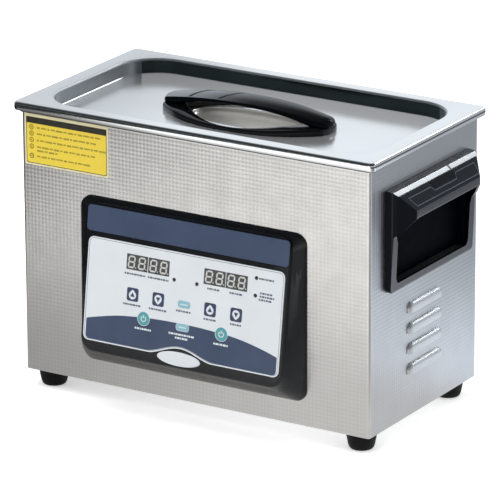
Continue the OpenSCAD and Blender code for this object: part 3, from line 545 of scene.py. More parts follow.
def apply_modifier(ob, kind, **settings):
    add_modifier(ob, kind, **settings)
    graph = bpy.context.evaluated_depsgraph_get()
    graph.update()
    mesh = bpy.data.meshes.new_from_object(ob.evaluated_get(graph), depsgraph=graph,
                                           preserve_all_data_layers=True)
    old = ob.data
    ob.modifiers.clear()
    ob.data = mesh
    mesh.name = ob.name
    bpy.data.meshes.remove(old)


def combine(ob, other, operation, **settings):
    """Boolean with another object, which is used up."""
    apply_modifier(ob, "BOOLEAN", object=other, operation=operation, solver="MANIFOLD",
                   **settings)
    bpy.data.meshes.remove(other.data)


def cut(ob, shape, operation="DIFFERENCE"):
    combine(ob, solid("cutter", shape, list(ob.data.materials)), operation)


def bevel(ob, width, segments, angle):
    apply_modifier(ob, "BEVEL", width=width * 0.001, segments=segments,
                   limit_method="ANGLE", angle_limit=radians(angle),
                   use_clamp_overlap=True, miter_outer="MITER_ARC")


def thicken(ob, metres):
    apply_modifier(ob, "SOLIDIFY", thickness=metres, offset=-1.0, use_rim=True)


def coordinates(mesh):
    """Vertex places in metres, one row each."""
    flat = np.zeros(len(mesh.vertices) * 3)
    mesh.vertices.foreach_get("co", flat)
    return flat.reshape(-1, 3)


def centre_mm(face):
    x, y, z = face.center
    return x * 1000, y * 1000 - CENTRE_Y, z * 1000


def finish(ob, replaces, slot, body="cleaner", angle=35, recalc=True):
    """Smooth shading with sharp edges, then the object's place in the frame."""
    if recalc:
        fix_normals(ob)
    ob.data.shade_smooth()
    ob.data.set_sharp_from_angle(angle=radians(angle))
    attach(ob, body)
    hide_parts(replaces)


def piece(name, shape, materials, replaces, slot=None, body="cleaner", angle=35):
    """A finished object; the slot argument is not used."""
    if isinstance(materials, str):
        materials = [materials]
    ob = new_object(name, shape, materials)
    finish(ob, replaces, slot or materials[0], body, angle)


# ------------------------------------------------------------------ housing
SHEET = 0.8
CORNER_R = 2.2
GROOVE_PITCH, GROOVE_HALF, GROOVE_DEPTH = 3.3, 0.6, 0.07
LOUVRE_ZS = [98.9, 82.3, 65.6, 49.0]
HOOD_H, HOOD_OUT, HOOD_HALF_L, HOOD_END = 8.2, 3.4, 26.0, 6.0
HOOD_BEND, HOOD_SHEET = 3.6, 0.75


def stations(start, end, margin=1.6):
    """Positions along a run, and for each 1 at a groove's bottom or 0 on the pads."""
    count = max(1, int((end - start - 2 * margin) / GROOVE_PITCH))
    first = start + ((end - start) - count * GROOVE_PITCH) / 2
    places, grooves = [start], [0]
    for i in range(count + 1):
        middle = first + i * GROOVE_PITCH
        for offset, groove in ((-GROOVE_HALF, 0), (0, 1), (GROOVE_HALF, 0)):
            if start + 0.05 < middle + offset < end - 0.05:
                places.append(middle + offset)
                grooves.append(groove)
    return places + [end], grooves + [0]


def embossed_sheet(columns):
    """Closed sheet with pressed grooves on its outer skin.

    columns: x, y, outward normal x, normal y, groove flag, depth factor.
    """
    heights, bands = stations(WALL_BASE, WALL_TOP)
    x, y, nx, ny, groove, factor = np.array(columns, float).T
    rows, count = len(heights), len(columns)
    depth = GROOVE_DEPTH * np.maximum(groove[:, None], np.array(bands, float)[None, :])
    depth = depth * factor[:, None]
    outer = np.column_stack([(x[:, None] - nx[:, None] * depth).ravel(),
                             (y[:, None] - ny[:, None] * depth).ravel(),
                             np.broadcast_to(np.array(heights), (count, rows)).ravel()])
    inner = []
    for inner_x, inner_y in zip(x - nx * SHEET, y - ny * SHEET):
        inner += [(inner_x, inner_y, WALL_BASE), (inner_x, inner_y, WALL_TOP)]
    faces = []
    for i in range(count - 1):
        here, after = i * rows, (i + 1) * rows
        for j in range(rows - 1):
            faces.append((here + j, after + j, after + j + 1, here + j + 1))
    skin = count * rows
    for i in range(count - 1):
        here, after = skin + 2 * i, skin + 2 * (i + 1)
        faces.append((here, here + 1, after + 1, after))
        faces.append((i * rows, here, after, (i + 1) * rows))
        faces.append(((i + 1) * rows - 1, (i + 2) * rows - 1, after + 1, here + 1))
    faces.append(tuple(list(range(rows)) + [skin + 1, skin]))
    last = (count - 1) * rows
    faces.append(tuple([last + j for j in range(rows - 1, -1, -1)]
                       + [skin + 2 * (count - 1), skin + 2 * (count - 1) + 1]))
    return np.vstack([outer, np.array(inner)]), faces


def wall_columns(axis, sign):
    """Columns of one wall; the front and back walls carry the corner bends."""
    if axis == "x":
        half = HALF_D - CORNER_R
        places, grooves = stations(-half, half, margin=5.0)
        last = len(places) - 1
        return [(sign * HALF_W, y, sign, 0, groove, 0.6 if i in (0, last) else 1.0)
                for i, (y, groove) in enumerate(zip(places, grooves))]
    half = HALF_W - CORNER_R

    def bend(side, steps):
        columns = []
        for i in steps:
            nx, ny = side * cos(i * pi / 12), sign * sin(i * pi / 12)
            columns.append((side * half + CORNER_R * nx,
                            sign * (HALF_D - CORNER_R) + CORNER_R * ny,
                            nx, ny, 0, 0.0 if 0 < i < 6 else 0.6))
        return columns

    places, grooves = stations(-half, half)
    flat = [(x, sign * HALF_D, 0, sign, groove, 1.0)
            for x, groove in zip(places[1:-1], grooves[1:-1])]
    return bend(-1, range(7)) + flat + bend(1, range(6, -1, -1))


def wall_openings(axis, sign):
    near, far = HALF_D - 3, HALF_D + 3
    if axis == "x":
        x0, x1 = sorted((sign * (HALF_W - 3), sign * (HALF_W + 3)))
        handle = box((x0, -50.3, 132.7), (x1, 58.3, 186.3))
        return [handle] + [box((x0, -23.5, z - 0.4), (x1, 23.5, z + 3.4)) for z in LOUVRE_ZS]
    if sign < 0:
        return [box((-92, -far, 46), (92, -near, 158))]
    holes = [cylinder(28.4, near, far, (0, 0, FAN_Z), "y", 96),
             box_about(INLET, 14.3, 13.8, near, far),
             box_about(SWITCH, 6.6, 9.6, near, far),
             cylinder(8, near, far, (DRAIN_X, 0, DRAIN_Z), "y", 48)]
    for a in (-1, 1):
        for b in (-1, 1):
            centre = (a * FAN_SCREW, 0, FAN_Z + b * FAN_SCREW)
            holes.append(cylinder(2.2, near, far, centre, "y", 20))
    return holes


def mark_grooves(ob, axis):
    """Writes how deep each vertex of a flat wall is pressed, 0 to 1."""
    places = coordinates(ob.data) * 1000 - np.array([0, CENTRE_Y, 0])
    x, y = np.abs(places[:, 0]), np.abs(places[:, 1])
    if axis == "y":
        depth, flat = HALF_D - y, x < HALF_W - CORNER_R - 0.01
    else:
        depth, flat = HALF_W - x, y < HALF_D - CORNER_R - 0.01
    pressed = np.where((depth <= GROOVE_DEPTH * 1.1) & flat,
                       np.clip(depth / GROOVE_DEPTH, 0, 1), 0.0)
    attribute = ob.data.attributes.new("groove", "FLOAT", "POINT")
    attribute.data.foreach_set("value", pressed.astype(np.float32))


def housing_walls():
    for name, axis, sign, material in (("housing_front", "y", -1, "steel_embossed"),
                                       ("housing_back", "y", 1, "steel_embossed"),
                                       ("housing_right", "x", 1, "steel_side"),
                                       ("housing_left", "x", -1, "steel_side")):
        ob = solid(name, embossed_sheet(wall_columns(axis, sign)), [material])
        cut(ob, merge(wall_openings(axis, sign)))
        mark_grooves(ob, axis)
        finish(ob, "housing_shell", "steel_embossed", angle=50, recalc=False)


def housing_flanges():
    """Folded top flange and bottom turn-in."""
    def flange(inner, start, end):
        outer = (2 * HALF_W - 1.62, 2 * HALF_D - 1.62, 1.4)
        return loft([level_rect(*outer, start), level_rect(*inner, start),
                     level_rect(*inner, end), level_rect(*outer, end),
                     level_rect(*outer, start)])

    shape = merge([flange((305, 160, 24), WALL_TOP, WALL_TOP - SHEET),
                   flange((295, 147, 3), WALL_BASE + 1, WALL_BASE + 1.8)])
    ob = new_object("housing_flanges", shape, ["steel_satin"])
    weld(ob, 1e-6)
    finish(ob, "housing_shell", "steel_embossed")


def louvre(base_z, side):
    """One pressed hood: rounded top, flat face, open lower edge, rounded ends."""
    profile = []                # distance out from the wall, height
    for i in range(9):
        angle = pi / 2 * i / 8
        profile.append((HOOD_OUT * sin(angle), HOOD_H - HOOD_BEND * (1 - cos(angle))))
    for i in range(1, 6):       # the face leans slightly in towards the lip
        t = i / 5
        profile.append((HOOD_OUT - 0.25 * t * t, (HOOD_H - HOOD_BEND) * (1 - t)))
    profile = np.array(profile)
    ys = np.concatenate([
        -HOOD_HALF_L + HOOD_END * (1 - np.cos(np.linspace(0, pi / 2, 9))), [0.0],
        HOOD_HALF_L - HOOD_END * (1 - np.cos(np.linspace(pi / 2, 0, 9)))])
    outer, inner = [], []
    for y in ys:
        t = max(0.0, (abs(y) - (HOOD_HALF_L - HOOD_END)) / HOOD_END)
        swell = sqrt(max(0.0, 1 - t * t))
        x = profile[:, 0] * swell
        z = profile[:, 1] * (0.35 + 0.65 * swell)
        across = np.full(len(x), y)
        outer.append(np.column_stack([side * (HALF_W + x - 0.15), across, base_z + z]))
        bend_h = HOOD_H - HOOD_BEND
        inner_x = np.maximum(x - HOOD_SHEET, -0.8)
        inner_z = np.where(profile[:, 1] > bend_h,
                           z - HOOD_SHEET * (profile[:, 1] - bend_h) / HOOD_BEND, z)
        inner.append(np.column_stack([side * (HALF_W + inner_x - 0.15), across,
                                      base_z + inner_z]))
    verts, faces = merge([loft(outer, closed=False), flipped(loft(inner, closed=False))])
    n, skin = len(profile), len(verts) // 2
    for i in range(len(ys) - 1):
        here, after = i * n + n - 1, (i + 1) * n + n - 1
        faces.append((here, after, skin + after, skin + here))
        here, after = i * n, (i + 1) * n
        faces.append((after, here, skin + here, skin + after))
    return verts, faces


def louvres():
    for name, side in (("louvres_right", 1), ("louvres_left", -1)):
        piece(name, merge_painted([louvre(z, side) for z in LOUVRE_ZS]), "steel_louvre",
              "housing_shell", "steel_embossed", angle=50)


# ------------------------------------------------------------------ tank
def tank():
    n = 10
    rings = []

    def rim(inset, z):
        rings.append(level_rect(319 - 2 * inset, 171 - 2 * inset, 4 - inset, z, n))

    def well(grow, z):
        rings.append(level_rect(300 + 2 * grow, 155 + 2 * grow, 22 + grow, z, n))

    for inset, z in ((1.0, 227.6), (0.4, 227.5), (0.0, 227.8), (0.0, 228.4)):
        rim(inset, z)
    for i in range(1, 6):
        angle = i * pi / 10
        rim(0.9 * (1 - cos(angle)), 228.4 + 0.9 * sin(angle))
    for i in range(6):
        angle = i * pi / 10
        well(2.6 * (1 - sin(angle)), RIM_TOP - 2.6 * (1 - cos(angle)))
    for z in (210, 180, 150):
        well(0, z)
    for i in range(8):
        angle = i * pi / 14
        well(-8 * (1 - cos(angle)), 137.3 - 8 * sin(angle))
    rings.append(level_rect(270, 125, 10, 129.3, n))
    ob = solid("tank_shell", loft(rings, False, True), ["steel_tank"])
    thicken(ob, 0.0009)
    cut(ob, cylinder(5, 120, 140, (DRAIN_X, 45, 0), "z", 40))
    add_materials(ob, ["dark_steel"])
    for face in ob.data.polygons:       # painted shade: the rim's outer edge under the lid is dark
        x, y, z = centre_mm(face)
        if z > 227.3 and (abs(x) > 158.8 or abs(y) > 84.8):
            face.material_index = 1
    finish(ob, "tank", "steel_polished", angle=40)


# ------------------------------------------------------------------ lid
LID_PAINTED_LIGHT_COPIES = ["steel_satin", "steel_wall", "steel_polished", "steel_soft", "steel_bowl",
                "steel_end", "steel_lip", "dark_steel"]


def lid_painted_light_copy(face):
    """Copies of the one steel sheet, picked by where each face lies and faces, paint shade and
    reflections into the lid.
    """
    x, y, z = centre_mm(face)
    nx, ny, nz = face.normal
    inside = abs(x) < 149.2 and abs(y) < 77.6
    # painted shade: a darker, rougher copy on the rounding at the top of the pan's mouth
    if inside and z > LID_TOP - 1.7 and abs(nz) < 0.985:
        return "steel_soft"
    # painted reflection: the pan walls in a dark copy, the wall facing +X in a lighter grey one
    if inside and abs(nz) < 0.75 and z > PAN_Z + 0.4:
        return "steel_end" if nx > 0.75 else "steel_wall"
    if abs(nz) < 0.9 and z > 229:
        # painted reflection: the front lip darkens towards -X
        if ny < -0.5 and z < 232.2:
            return "steel_lip"
        # painted reflection: a dark band along the lip facing +X
        if nx > 0.5 and 232.3 < z < 233.4:
            return "dark_steel"
        return "steel_polished"
    return "steel_bowl" if z < PAN_Z - 0.3 else "steel_satin"


def lid_pan():
    n = 14
    rings = []

    def edge(inset, z):
        rings.append(level_rect(326 - 2 * inset, 178 - 2 * inset, max(0.8, 5.0 - inset), z, n))

    def bulge(z):
        return (z - 232.9) ** 2 / 22.0

    def mouth(grow, z):
        rings.append(level_rect(294.6 + 2 * grow, 151 + 2 * grow, 34 + grow, z, n))

    for inset in (5.0, 3.2, 1.2):
        edge(inset, 229.34)
    for i in range(4):
        edge(0.7 * (1 - sin(i * pi / 6)) + bulge(230.04), 230.04 - 0.7 * cos(i * pi / 6))
    edge_r, mouth_r, floor_r = 1.9, 1.6, 0.6
    for z in np.linspace(230.5, LID_TOP - edge_r, 7):
        edge(bulge(z), z)
    for i in range(1, 8):
        edge(bulge(LID_TOP - edge_r) + edge_r * (1 - cos(i * pi / 14)),
             LID_TOP - edge_r + edge_r * sin(i * pi / 14))
    rings.append(level_rect(316, 168, 9, LID_TOP, n))
    for i in range(8):
        angle = i * pi / 14
        mouth(mouth_r * (1 - sin(angle)), LID_TOP - mouth_r * (1 - cos(angle)))
    for i in range(9):
        angle = i * pi / 16
        mouth(-floor_r * (1 - cos(angle)), PAN_Z + floor_r - floor_r * sin(angle))
    for half_w, half_d, power in ((120, 60, 3.4), (95, 46, 2.8), (70, 34, 2.4)):
        rings.append(at_z(superellipse(half_w, half_d, n, power), PAN_Z))
    # finger bowl under the grip
    bowl_w, bowl_d, bowl_depth, lip_depth, bowl_power = 50.0, 21.5, 7.4, 1.4, 2.15
    for i in range(5):
        angle = i * pi / 8
        grow = 2.2 * (1 - sin(angle))
        rings.append(at_z(superellipse(bowl_w + grow, bowl_d + grow, n, bowl_power),
                          PAN_Z - lip_depth * (1 - cos(angle))))
    for i in range(1, 10):
        t = i / 10.0
        shrink = cos(t * pi / 2 * 0.97)
        depth = (bowl_depth - lip_depth) * sin(t * pi / 2) ** 0.9
        rings.append(at_z(superellipse(bowl_w * shrink, bowl_d * shrink, n, bowl_power),
                          PAN_Z - lip_depth - depth))
    ob = new_object("lid_pan", loft(rings, False, True), LID_PAINTED_LIGHT_COPIES[:1])
    weld(ob, 2e-7)
    fix_normals(ob)
    thicken(ob, 0.0009)
    add_materials(ob, LID_PAINTED_LIGHT_COPIES[1:])
    for face in ob.data.polygons:
        face.material_index = LID_PAINTED_LIGHT_COPIES.index(lid_painted_light_copy(face))
    finish(ob, "lid", "steel_satin", body="lid", angle=45)


# ------------------------------------------------------------------ lid handle
GRIP_HALF_L = 75.2
BASE_TOP = PAN_Z + 5.3


def bowed(x, half_length, end, middle, power=2.5):
    """Half width of a boat-shaped plan at x."""
    return end + (middle - end) * (1 - (abs(x) / half_length) ** power)


def grip_half_width(x):
    return bowed(x, GRIP_HALF_L, 9.5, 14.0)


def grip_top(x):
    return 241.5 - 7.3 * (abs(x) / 76.2) ** 2.2


GRIP_CROWN = 1.3


def lid_handle_base():
    """Boat-shaped ring round the finger bowl."""
    count, inner_half_l = 128, 57
    sections = []
    for i in range(count):
        c, s = cos(2 * pi * i / count), sin(2 * pi * i / count)
        outer_x = GRIP_HALF_L * copysign(abs(c) ** 0.75, c)
        inner_x = inner_half_l * copysign(abs(c) ** 0.9, c)
        outer_y = inner_y = 0.0
        if abs(s) > 1e-9:
            outer_y = copysign(bowed(outer_x, GRIP_HALF_L, 9.0, 37.6), s)
            outer_y *= min(1.0, abs(s) / 0.30) ** 0.55      # blunt ends
            inner_y = copysign(bowed(inner_x, inner_half_l, 1.2, 34.6, 2.1), s)
        top = BASE_TOP - 2.2 * (1 - min(1.0, abs(outer_x) / 57.0) ** 2)
        outer = np.array([outer_x, outer_y])
        inward = np.array([inner_x, inner_y]) - outer
        width = np.linalg.norm(inward)
        inward /= width
        outer_r, inner_r = min(1.8, width * 0.4), min(1.1, width * 0.25)
        profile = [(0.0, PAN_Z + 0.02), (0.0, top - outer_r)]
        for k in range(1, 5):
            angle = k * pi / 8
            profile.append((outer_r * (1 - cos(angle)), top - outer_r + outer_r * sin(angle)))
        for k in range(4):
            angle = k * pi / 6
            profile.append((width - inner_r + inner_r * sin(angle),
                            top - inner_r + inner_r * cos(angle)))
        profile.append((width, PAN_Z + 0.02))
        sections.append(np.array([[outer[0] + inward[0] * q, outer[1] + inward[1] * q, z]
                                  for q, z in profile]))
    sections.append(sections[0])
    ob = new_object("lid_handle_base_ring", loft(sections), ["black_gloss"])
    weld(ob, 1e-7)
    finish(ob, "lid_handle_base", "black_gloss", body="lid", angle=50)


def grip_section(x):
    """Cross-section of the arched grip at x: lower left edge, over the crown, lower right."""
    width = grip_half_width(x)
    tail = max(0.0, (abs(x) - 69.0) / 6.2)
    if tail > 0:
        width *= sqrt(max(0.0, 1 - (tail * 0.97) ** 2.4))
    top = grip_top(x) - 1.6 * tail ** 2
    bottom = BASE_TOP + (8.3 * (1 - (abs(x) / 62.0) ** 2.4) if abs(x) < 62 else 0.05)
    height = top - bottom
    upper_r = min(3.0, height * 0.45, width * 0.6)
    lower_r = min(1.4, height * 0.3)
    points = []

    def arc(side, radius, centre_z, angles):
        for angle in angles:
            points.append((side * (width - radius) + radius * cos(angle),
                           centre_z + radius * sin(angle)))

    low_z, high_z = bottom + lower_r, top - GRIP_CROWN - upper_r
    arc(-1, lower_r, low_z, [-pi / 2 - k * pi / 6 for k in range(4)])
    arc(-1, upper_r, high_z, [pi - k * pi / 10 for k in range(6)])
    for k in range(1, 8):
        q = -1 + 2 * k / 8
        points.append(((width - upper_r) * q, top - GRIP_CROWN * (q * q)))
    arc(1, upper_r, high_z, [pi / 2 - k * pi / 10 for k in range(6)])
    arc(1, lower_r, low_z, [0 - k * pi / 6 for k in range(4)])
    return at_x(points, x)


def lid_handle_arch():
    steps = 72
    sections = [grip_section(GRIP_HALF_L * sin((-1 + 2 * i / steps) * pi / 2))
                for i in range(steps + 1)]
    ob = solid("lid_handle_arch", loft(sections, True, True), ["black_grip", "arch_painted_highlight"])
    # painted highlight: the grip's upward crown faces take the light grey copy
    for face in ob.data.polygons:
        if face.normal[2] > 0.75 and centre_mm(face)[2] > 232.5:
            face.material_index = 1
    finish(ob, "lid_handle_grip", "black_gloss", body="lid", angle=50)


def lid_handle_lines():
    """Two low slanting ribs across the crown of the grip."""
    steps = 16
    parts = []
    for x0, y0, x1, y1 in ((-48.2, -10.6, -38.2, 10.6), (-20.5, -11.2, -10.5, 11.2)):
        upper, lower = [], []
        for i in range(steps + 1):
            q = i / steps
            for offset in (-1.1, 1.1):
                x, y = x0 + (x1 - x0) * q + offset, y0 + (y1 - y0) * q
                z = grip_top(x) - GRIP_CROWN * (y / (grip_half_width(x) - 3.0)) ** 2
                upper.append((x, y, z + 0.30))
                lower.append((x, y, z - 0.5))
        n = len(upper)
        faces = []
        for a in range(0, 2 * steps, 2):
            faces += [(a, a + 1, a + 3, a + 2), (n + a, n + a + 2, n + a + 3, n + a + 1),
                      (a, a + 2, n + a + 2, n + a), (a + 1, n + a + 1, n + a + 3, a + 3)]
        faces += [(0, n, n + 1, 1), (n - 2, n - 1, 2 * n - 1, 2 * n - 2)]
        parts.append((np.array(upper + lower, float), faces))
    piece("lid_handle_lines", merge(parts), "black_grip", "lid_handle_grip", "black_gloss",
          body="lid")


# ------------------------------------------------------------------ side handles
# Drawn with x = 0 on the wall, then moved out to it and back by HANDLE_SHIFT.
HANDLE_SHIFT = 4.0
# x, z of the section; points 8, 7, 6 bound the narrow upper facet and the sloping face
HANDLE_PROFILE = [
    (-0.02, 124.4), (3.7, 124.4), (4.5, 125.8), (6.6, 170), (11.6, 174.6),
    (19.4, 184.3), (19.4, 189.2), (9.6, 202.5), (5.9, 205.7), (-0.02, 206.6)]
# x, y of the plan
HANDLE_PLAN = [(-0.5, -64), (5.8, -64), (8.5, -61.6), (19.4, -48.8),
               (19.4, 48.8), (8.5, 61.6), (5.8, 64), (-0.5, 64)]
# x, z and x, y of the hollow
HOLLOW_PROFILE = [(-3.3, 134), (0, 134), (3, 131), (24, 131), (24, 184),
                  (17, 184), (17, 188.2), (6.4, 200.6), (2, 184), (-3.3, 184)]
HOLLOW_PLAN = [(-3.4, -52.5), (1.6, -53.5), (2.8, -59.2), (7, -59.2), (17.8, -46.4), (24, -46.4),
               (24, 46.4), (17.8, 46.4), (7, 59.2), (2.8, 59.2), (1.6, 53.5), (-3.4, 52.5)]
# y, distance down the sloping face
HAIRLINE = [(-50.5, 4.4), (-17, 4.4), (-14, 8.2), (19.5, 8.2),
            (22.5, 3.2), (52.5, 3.2), (50.5, 12.6), (-45.5, 12.6)]
HAIRLINE_HALF = 0.34


def round_bottomed(half_w, base, radius, upper):
    """(y, z) outline with a rounded lower edge, closed by the upper points."""
    ts = np.linspace(0, pi / 2, 7)
    left = [(-half_w + radius - radius * cos(t), base + radius - radius * sin(t)) for t in ts]
    right = [(half_w - radius + radius * sin(t), base + radius - radius * cos(t)) for t in ts]
    return np.array(left + right + upper)


def facet(start, end):
    """Origin, direction along and outward normal of a facet of the section, in (x, z)."""
    start, end = np.array(start), np.array(end)
    along = (end - start) / np.linalg.norm(end - start)
    return start, along, np.array([-along[1], along[0]])


def on_facet(plane, y, distance, height):
    origin, along, normal = plane
    x, z = origin + along * distance + normal * height
    return (x, y, z)


SLOPE = facet(HANDLE_PROFILE[7], HANDLE_PROFILE[6])
UPPER_FACET = facet(HANDLE_PROFILE[8], HANDLE_PROFILE[7])


def handle_solid(name):
    ob = solid(name, extrude(round_corners(HANDLE_PROFILE, 1.0), at_y, -70, 70),
               ["black_side"])
    cut(ob, extrude(round_corners(HANDLE_PLAN, 1.0), at_z, 100, 220), "INTERSECT")
    lower = round_bottomed(64.5, 124.0, 6.5, [(64.5, 220), (-64.5, 220)])
    cut(ob, extrude(lower, at_x, -3, 30), "INTERSECT")
    cut(ob, box((-4.5, -54, 133), (2.0, 54, 186)), "UNION")
    # painted shade: the pocket's inside faces take the near-black copy
    hollow = solid(name + "_void", extrude(round_corners(HOLLOW_PROFILE, 0.8), at_y, -70, 70),
                   ["cavity_dark"])
    cut(hollow, extrude(HOLLOW_PLAN, at_z, 100, 220), "INTERSECT")
    upper = [(56.2, 164), (61, 176), (61, 210), (-61, 210), (-61, 176), (-56.2, 164)]
    cut(hollow, extrude(round_bottomed(56.2, 130.2, 6.5, upper), at_x, -4, 30), "INTERSECT")
    combine(ob, hollow, "DIFFERENCE", material_mode="TRANSFER")
    weld(ob, 2e-6)
    with edited(ob) as bm:
        bmesh.ops.dissolve_limit(bm, angle_limit=radians(1.0), verts=bm.verts,
                                 edges=bm.edges, delimit={"MATERIAL"})
    bevel(ob, 0.6, 3, 33)
    return ob


def handle_tab():
    """Raised tab on the sloping face, and a thin rib across the upper facet beside it."""
    parts = []
    # plane, y range, range along the facet, height, slant of the far edge
    for plane, y0, y1, near, far, height, slant in (
            (SLOPE, -14.5, 21.0, 0.35, 6.6, 0.30, 2.2),
            (UPPER_FACET, 19.2, 20.9, -0.1, 4.9, 0.18, 0.0)):
        corners = ((y0, near), (y1, near), (y1, far), (y0 + slant, far))
        parts.append(([on_facet(plane, y, q, h) for h in (-0.3, height)
                       for y, q in corners], BOX_FACES))
    return merge(parts)


def handle_hairline():
    """Fine raised outline on the sloping face, in a grey that paints the highlight on its edges.
    """
    parts = []
    for start, end in zip(HAIRLINE, HAIRLINE[1:] + HAIRLINE[:1]):
        start, end = np.array(start), np.array(end)
        along = (end - start) / np.linalg.norm(end - start) * HAIRLINE_HALF
        across = np.array([-along[1], along[0]])
        corners = (start - along - across, end + along - across,
                   end + along + across, start - along + across)
        parts.append(([on_facet(SLOPE, y, q, h) for h in (-0.15, 0.14)
                       for y, q in corners], BOX_FACES))
    return merge(parts)


def side_handle(name, side, node):
    ob = handle_solid(name)
    for suffix, (verts, faces), material in (("_tab", handle_tab(), "black_grip"),
                                             ("_hairline", handle_hairline(), "line_grey")):
        verts = verts + np.array([HALF_W, HANDLE_SHIFT, 0])
        verts[:, 0] *= side
        piece(name + suffix, (verts, faces), material, node, "black_gloss")
    places = coordinates(ob.data)
    places[:, 0] = side * (places[:, 0] + HALF_W * 0.001)
    places[:, 1] += HANDLE_SHIFT * 0.001
    frame_index = len(ob.data.materials)
    # painted highlight: faces towards +X round the opening and on the outermost face take a
    # lighter, glossier copy of the black, the narrow upper facet a grey one
    add_materials(ob, ["black_frame", "strip_painted_highlight"])
    for face in ob.data.polygons:       # still at x = 0 on the wall
        x, _, z = centre_mm(face)
        if face.material_index:
            continue
        if face.normal[0] > 0.8 and ((z < 172 and 3.2 < x < 7.2) or x > 18.6):
            face.material_index = frame_index
        elif z > 202.2 and 0.70 < face.normal[2] < 0.90 and 5.4 < x < 10.4:
            face.material_index = frame_index + 1
    ob.data.vertices.foreach_set("co", places.ravel())
    finish(ob, node, "black_gloss", angle=30)
    add_modifier(ob, "WEIGHTED_NORMAL", keep_sharp=True, weight=100)


# ------------------------------------------------------------------ control panel
# Panel outlines are (x, distance up the slope); heights stand out of the panel's face.
PANEL_Y, PANEL_Z = -97.42, 108
TILT_COS, TILT_SIN = cos(radians(8)), sin(radians(8))
FILM_LOW, FILM_TOP = 0.02, 0.5
# name, place, sign on the cap, which also decides the cap's outline and colour
KEYS = [
    ("temp_up", (-45.9, -8.1), "up"), ("temp_down", (-22.4, -8.1), "down"),
    ("degas", (1.2, -8.1), "bar"), ("time_up", (24.8, -8.1), "up"),
    ("time_down", (48.3, -8.1), "down"), ("heat", (-34.6, -25.4), "power"),
    ("half_power", (1.1, -26.2), "bar"), ("ultrasonic", (36.3, -25.4), "power")]
KEY_COLOURS = {"up": "navy_key", "down": "navy_key", "bar": "cyan_key", "power": "teal_key"}
DISPLAYS = [(x, 17.4) for x in (-43.6, -23.7, 27.0, 46.9)]
LEDS = [(-9.2, 9.8), (11.4, 9.8), (64.1, 23.5), (64.1, 9.8)]
# upper edge of the dark field, left to right
SWOOSH = [
    (-89.9, -34.1), (-80, -31.6), (-70, -29.3), (-58.5, -27), (-45, -25.4),
    (-30, -24.2), (-15, -23.6), (0, -23.5), (15, -23.7), (30, -24.5),
    (43.4, -25.4), (55, -27.0), (66, -29.2), (77, -31.9), (87.8, -35.1)]
SWOOSH_HALF_W = 86.9
# x, height up the panel, length of the blank caption strips
CAPTIONS = [
    (-45, 8.0, 19), (-23.7, 8.0, 19), (26.5, 8.2, 11), (47, 8.2, 12), (-46.2, -16.2, 16),
    (-22.4, -16.2, 16), (1.0, -13.6, 13.5), (25.0, -15.9, 11), (48.4, -15.9, 10),
    (73.5, 23.5, 14), (73.6, 12.4, 11), (74.6, 9.8, 13), (73.4, 7.2, 12)]
LIGHT_CAPTIONS = [(-34.6, -33.6, 15), (1.0, -32.2, 24), (1.0, -35.0, 12), (36.3, -33.6, 13)]


def on_panel(outline, height):
    outline = np.asarray(outline, float)
    up = outline[:, 1]
    return np.column_stack([outline[:, 0], PANEL_Y + up * TILT_SIN - height * TILT_COS,
                            PANEL_Z + up * TILT_COS + height * TILT_SIN])


def slab(outline, low, high):
    return extrude(outline, on_panel, low, high)


def key_outline(key, grow=0.0):
    _, place, sign = key
    if sign == "bar":
        outline = rounded_rect(11 + 2 * grow, 5.2 + 2 * grow, 2 + grow, 6)
    elif sign == "power":
        outline = circle(5.2 + grow, 56)
    else:
        outline = rounded_rect(10.4 + 2 * grow, 10.4 + 2 * grow, 1.6 + grow, 6)
    return moved(outline, place)


def bezel():
    n = 10

    def foot(inset, y):
        outline = rounded_rect(204.6 - 2 * inset, 135.2 - 2 * inset,
                               max(10 - inset * 0.5, 2), n)
        return at_y(moved(outline, (0, 101.6)), y)

    def face(inset, height):
        outline = rounded_rect(184.6 - 2 * inset, 119.4 - 2 * inset,
                               max(12 - inset * 0.6, 2), n)
        return on_panel(moved(outline, (0, -0.3)), height)

    base, top = foot(0, -84.5), face(0, -2.6)
    rings = [foot(1.8, -SEAT), foot(0, -SEAT), base]
    for t in (0.25, 0.5, 0.75):         # the skirt swells slightly outwards
        middle = base * (1 - t) + top * t
        outward = middle - middle.mean(0)
        outward[:, 1] = 0
        length = np.linalg.norm(outward, axis=1)[:, None]
        rings.append(middle + outward / length * (0.9 * sin(pi * t)))
    rings.append(top)
    for i in range(1, 7):
        angle = i * pi / 12
        rings.append(face(2.6 * (1 - cos(angle)), -2.6 + 2.6 * sin(angle)))
    inside = loft([foot(1.8, -SEAT), face(2.2, -2.2)], False, True)
    ob = new_object("bezel_shell", merge([loft(rings, False, True), flipped(inside)]),
                    ["black_satin"])
    weld(ob, 1e-6)
    fix_normals(ob)
    holes = [key_outline(key, 0.3) for key in KEYS]
    holes += [moved(rounded_rect(19.8, 12.8, 0.4, 3), place) for place in DISPLAYS]
    holes += [circle(1.7, 20, place) for place in LEDS]
    cut(ob, merge([slab(hole, -4, 3) for hole in holes]))
    finish(ob, "panel_bezel", "black_satin", angle=40)


def notch(offset):
    """Upper edge of the badge notch, left to right, moved outwards by the offset."""
    half = 32 + offset * 0.4
    xs = np.linspace(-32 - offset * 0.4, half, 33)
    return np.column_stack([xs, -51 + offset + 7.6 * (0.5 + 0.5 * np.cos(xs / half * pi))])


def white_outline(inset):
    """White field with the notch in its lower edge."""
    n = 8
    rect = rounded_rect(178.4 - 2 * inset, 82.6 - 2 * inset, max(5 - inset, 0.8), n)
    rect = rect + np.array([0, -9.3])
    edge = notch(inset)
    edge[:, 1] = np.maximum(edge[:, 1], -50.6 + inset)
    lower_right = 3 * (n + 1)
    return np.vstack([rect[:lower_right], edge, rect[lower_right:]])


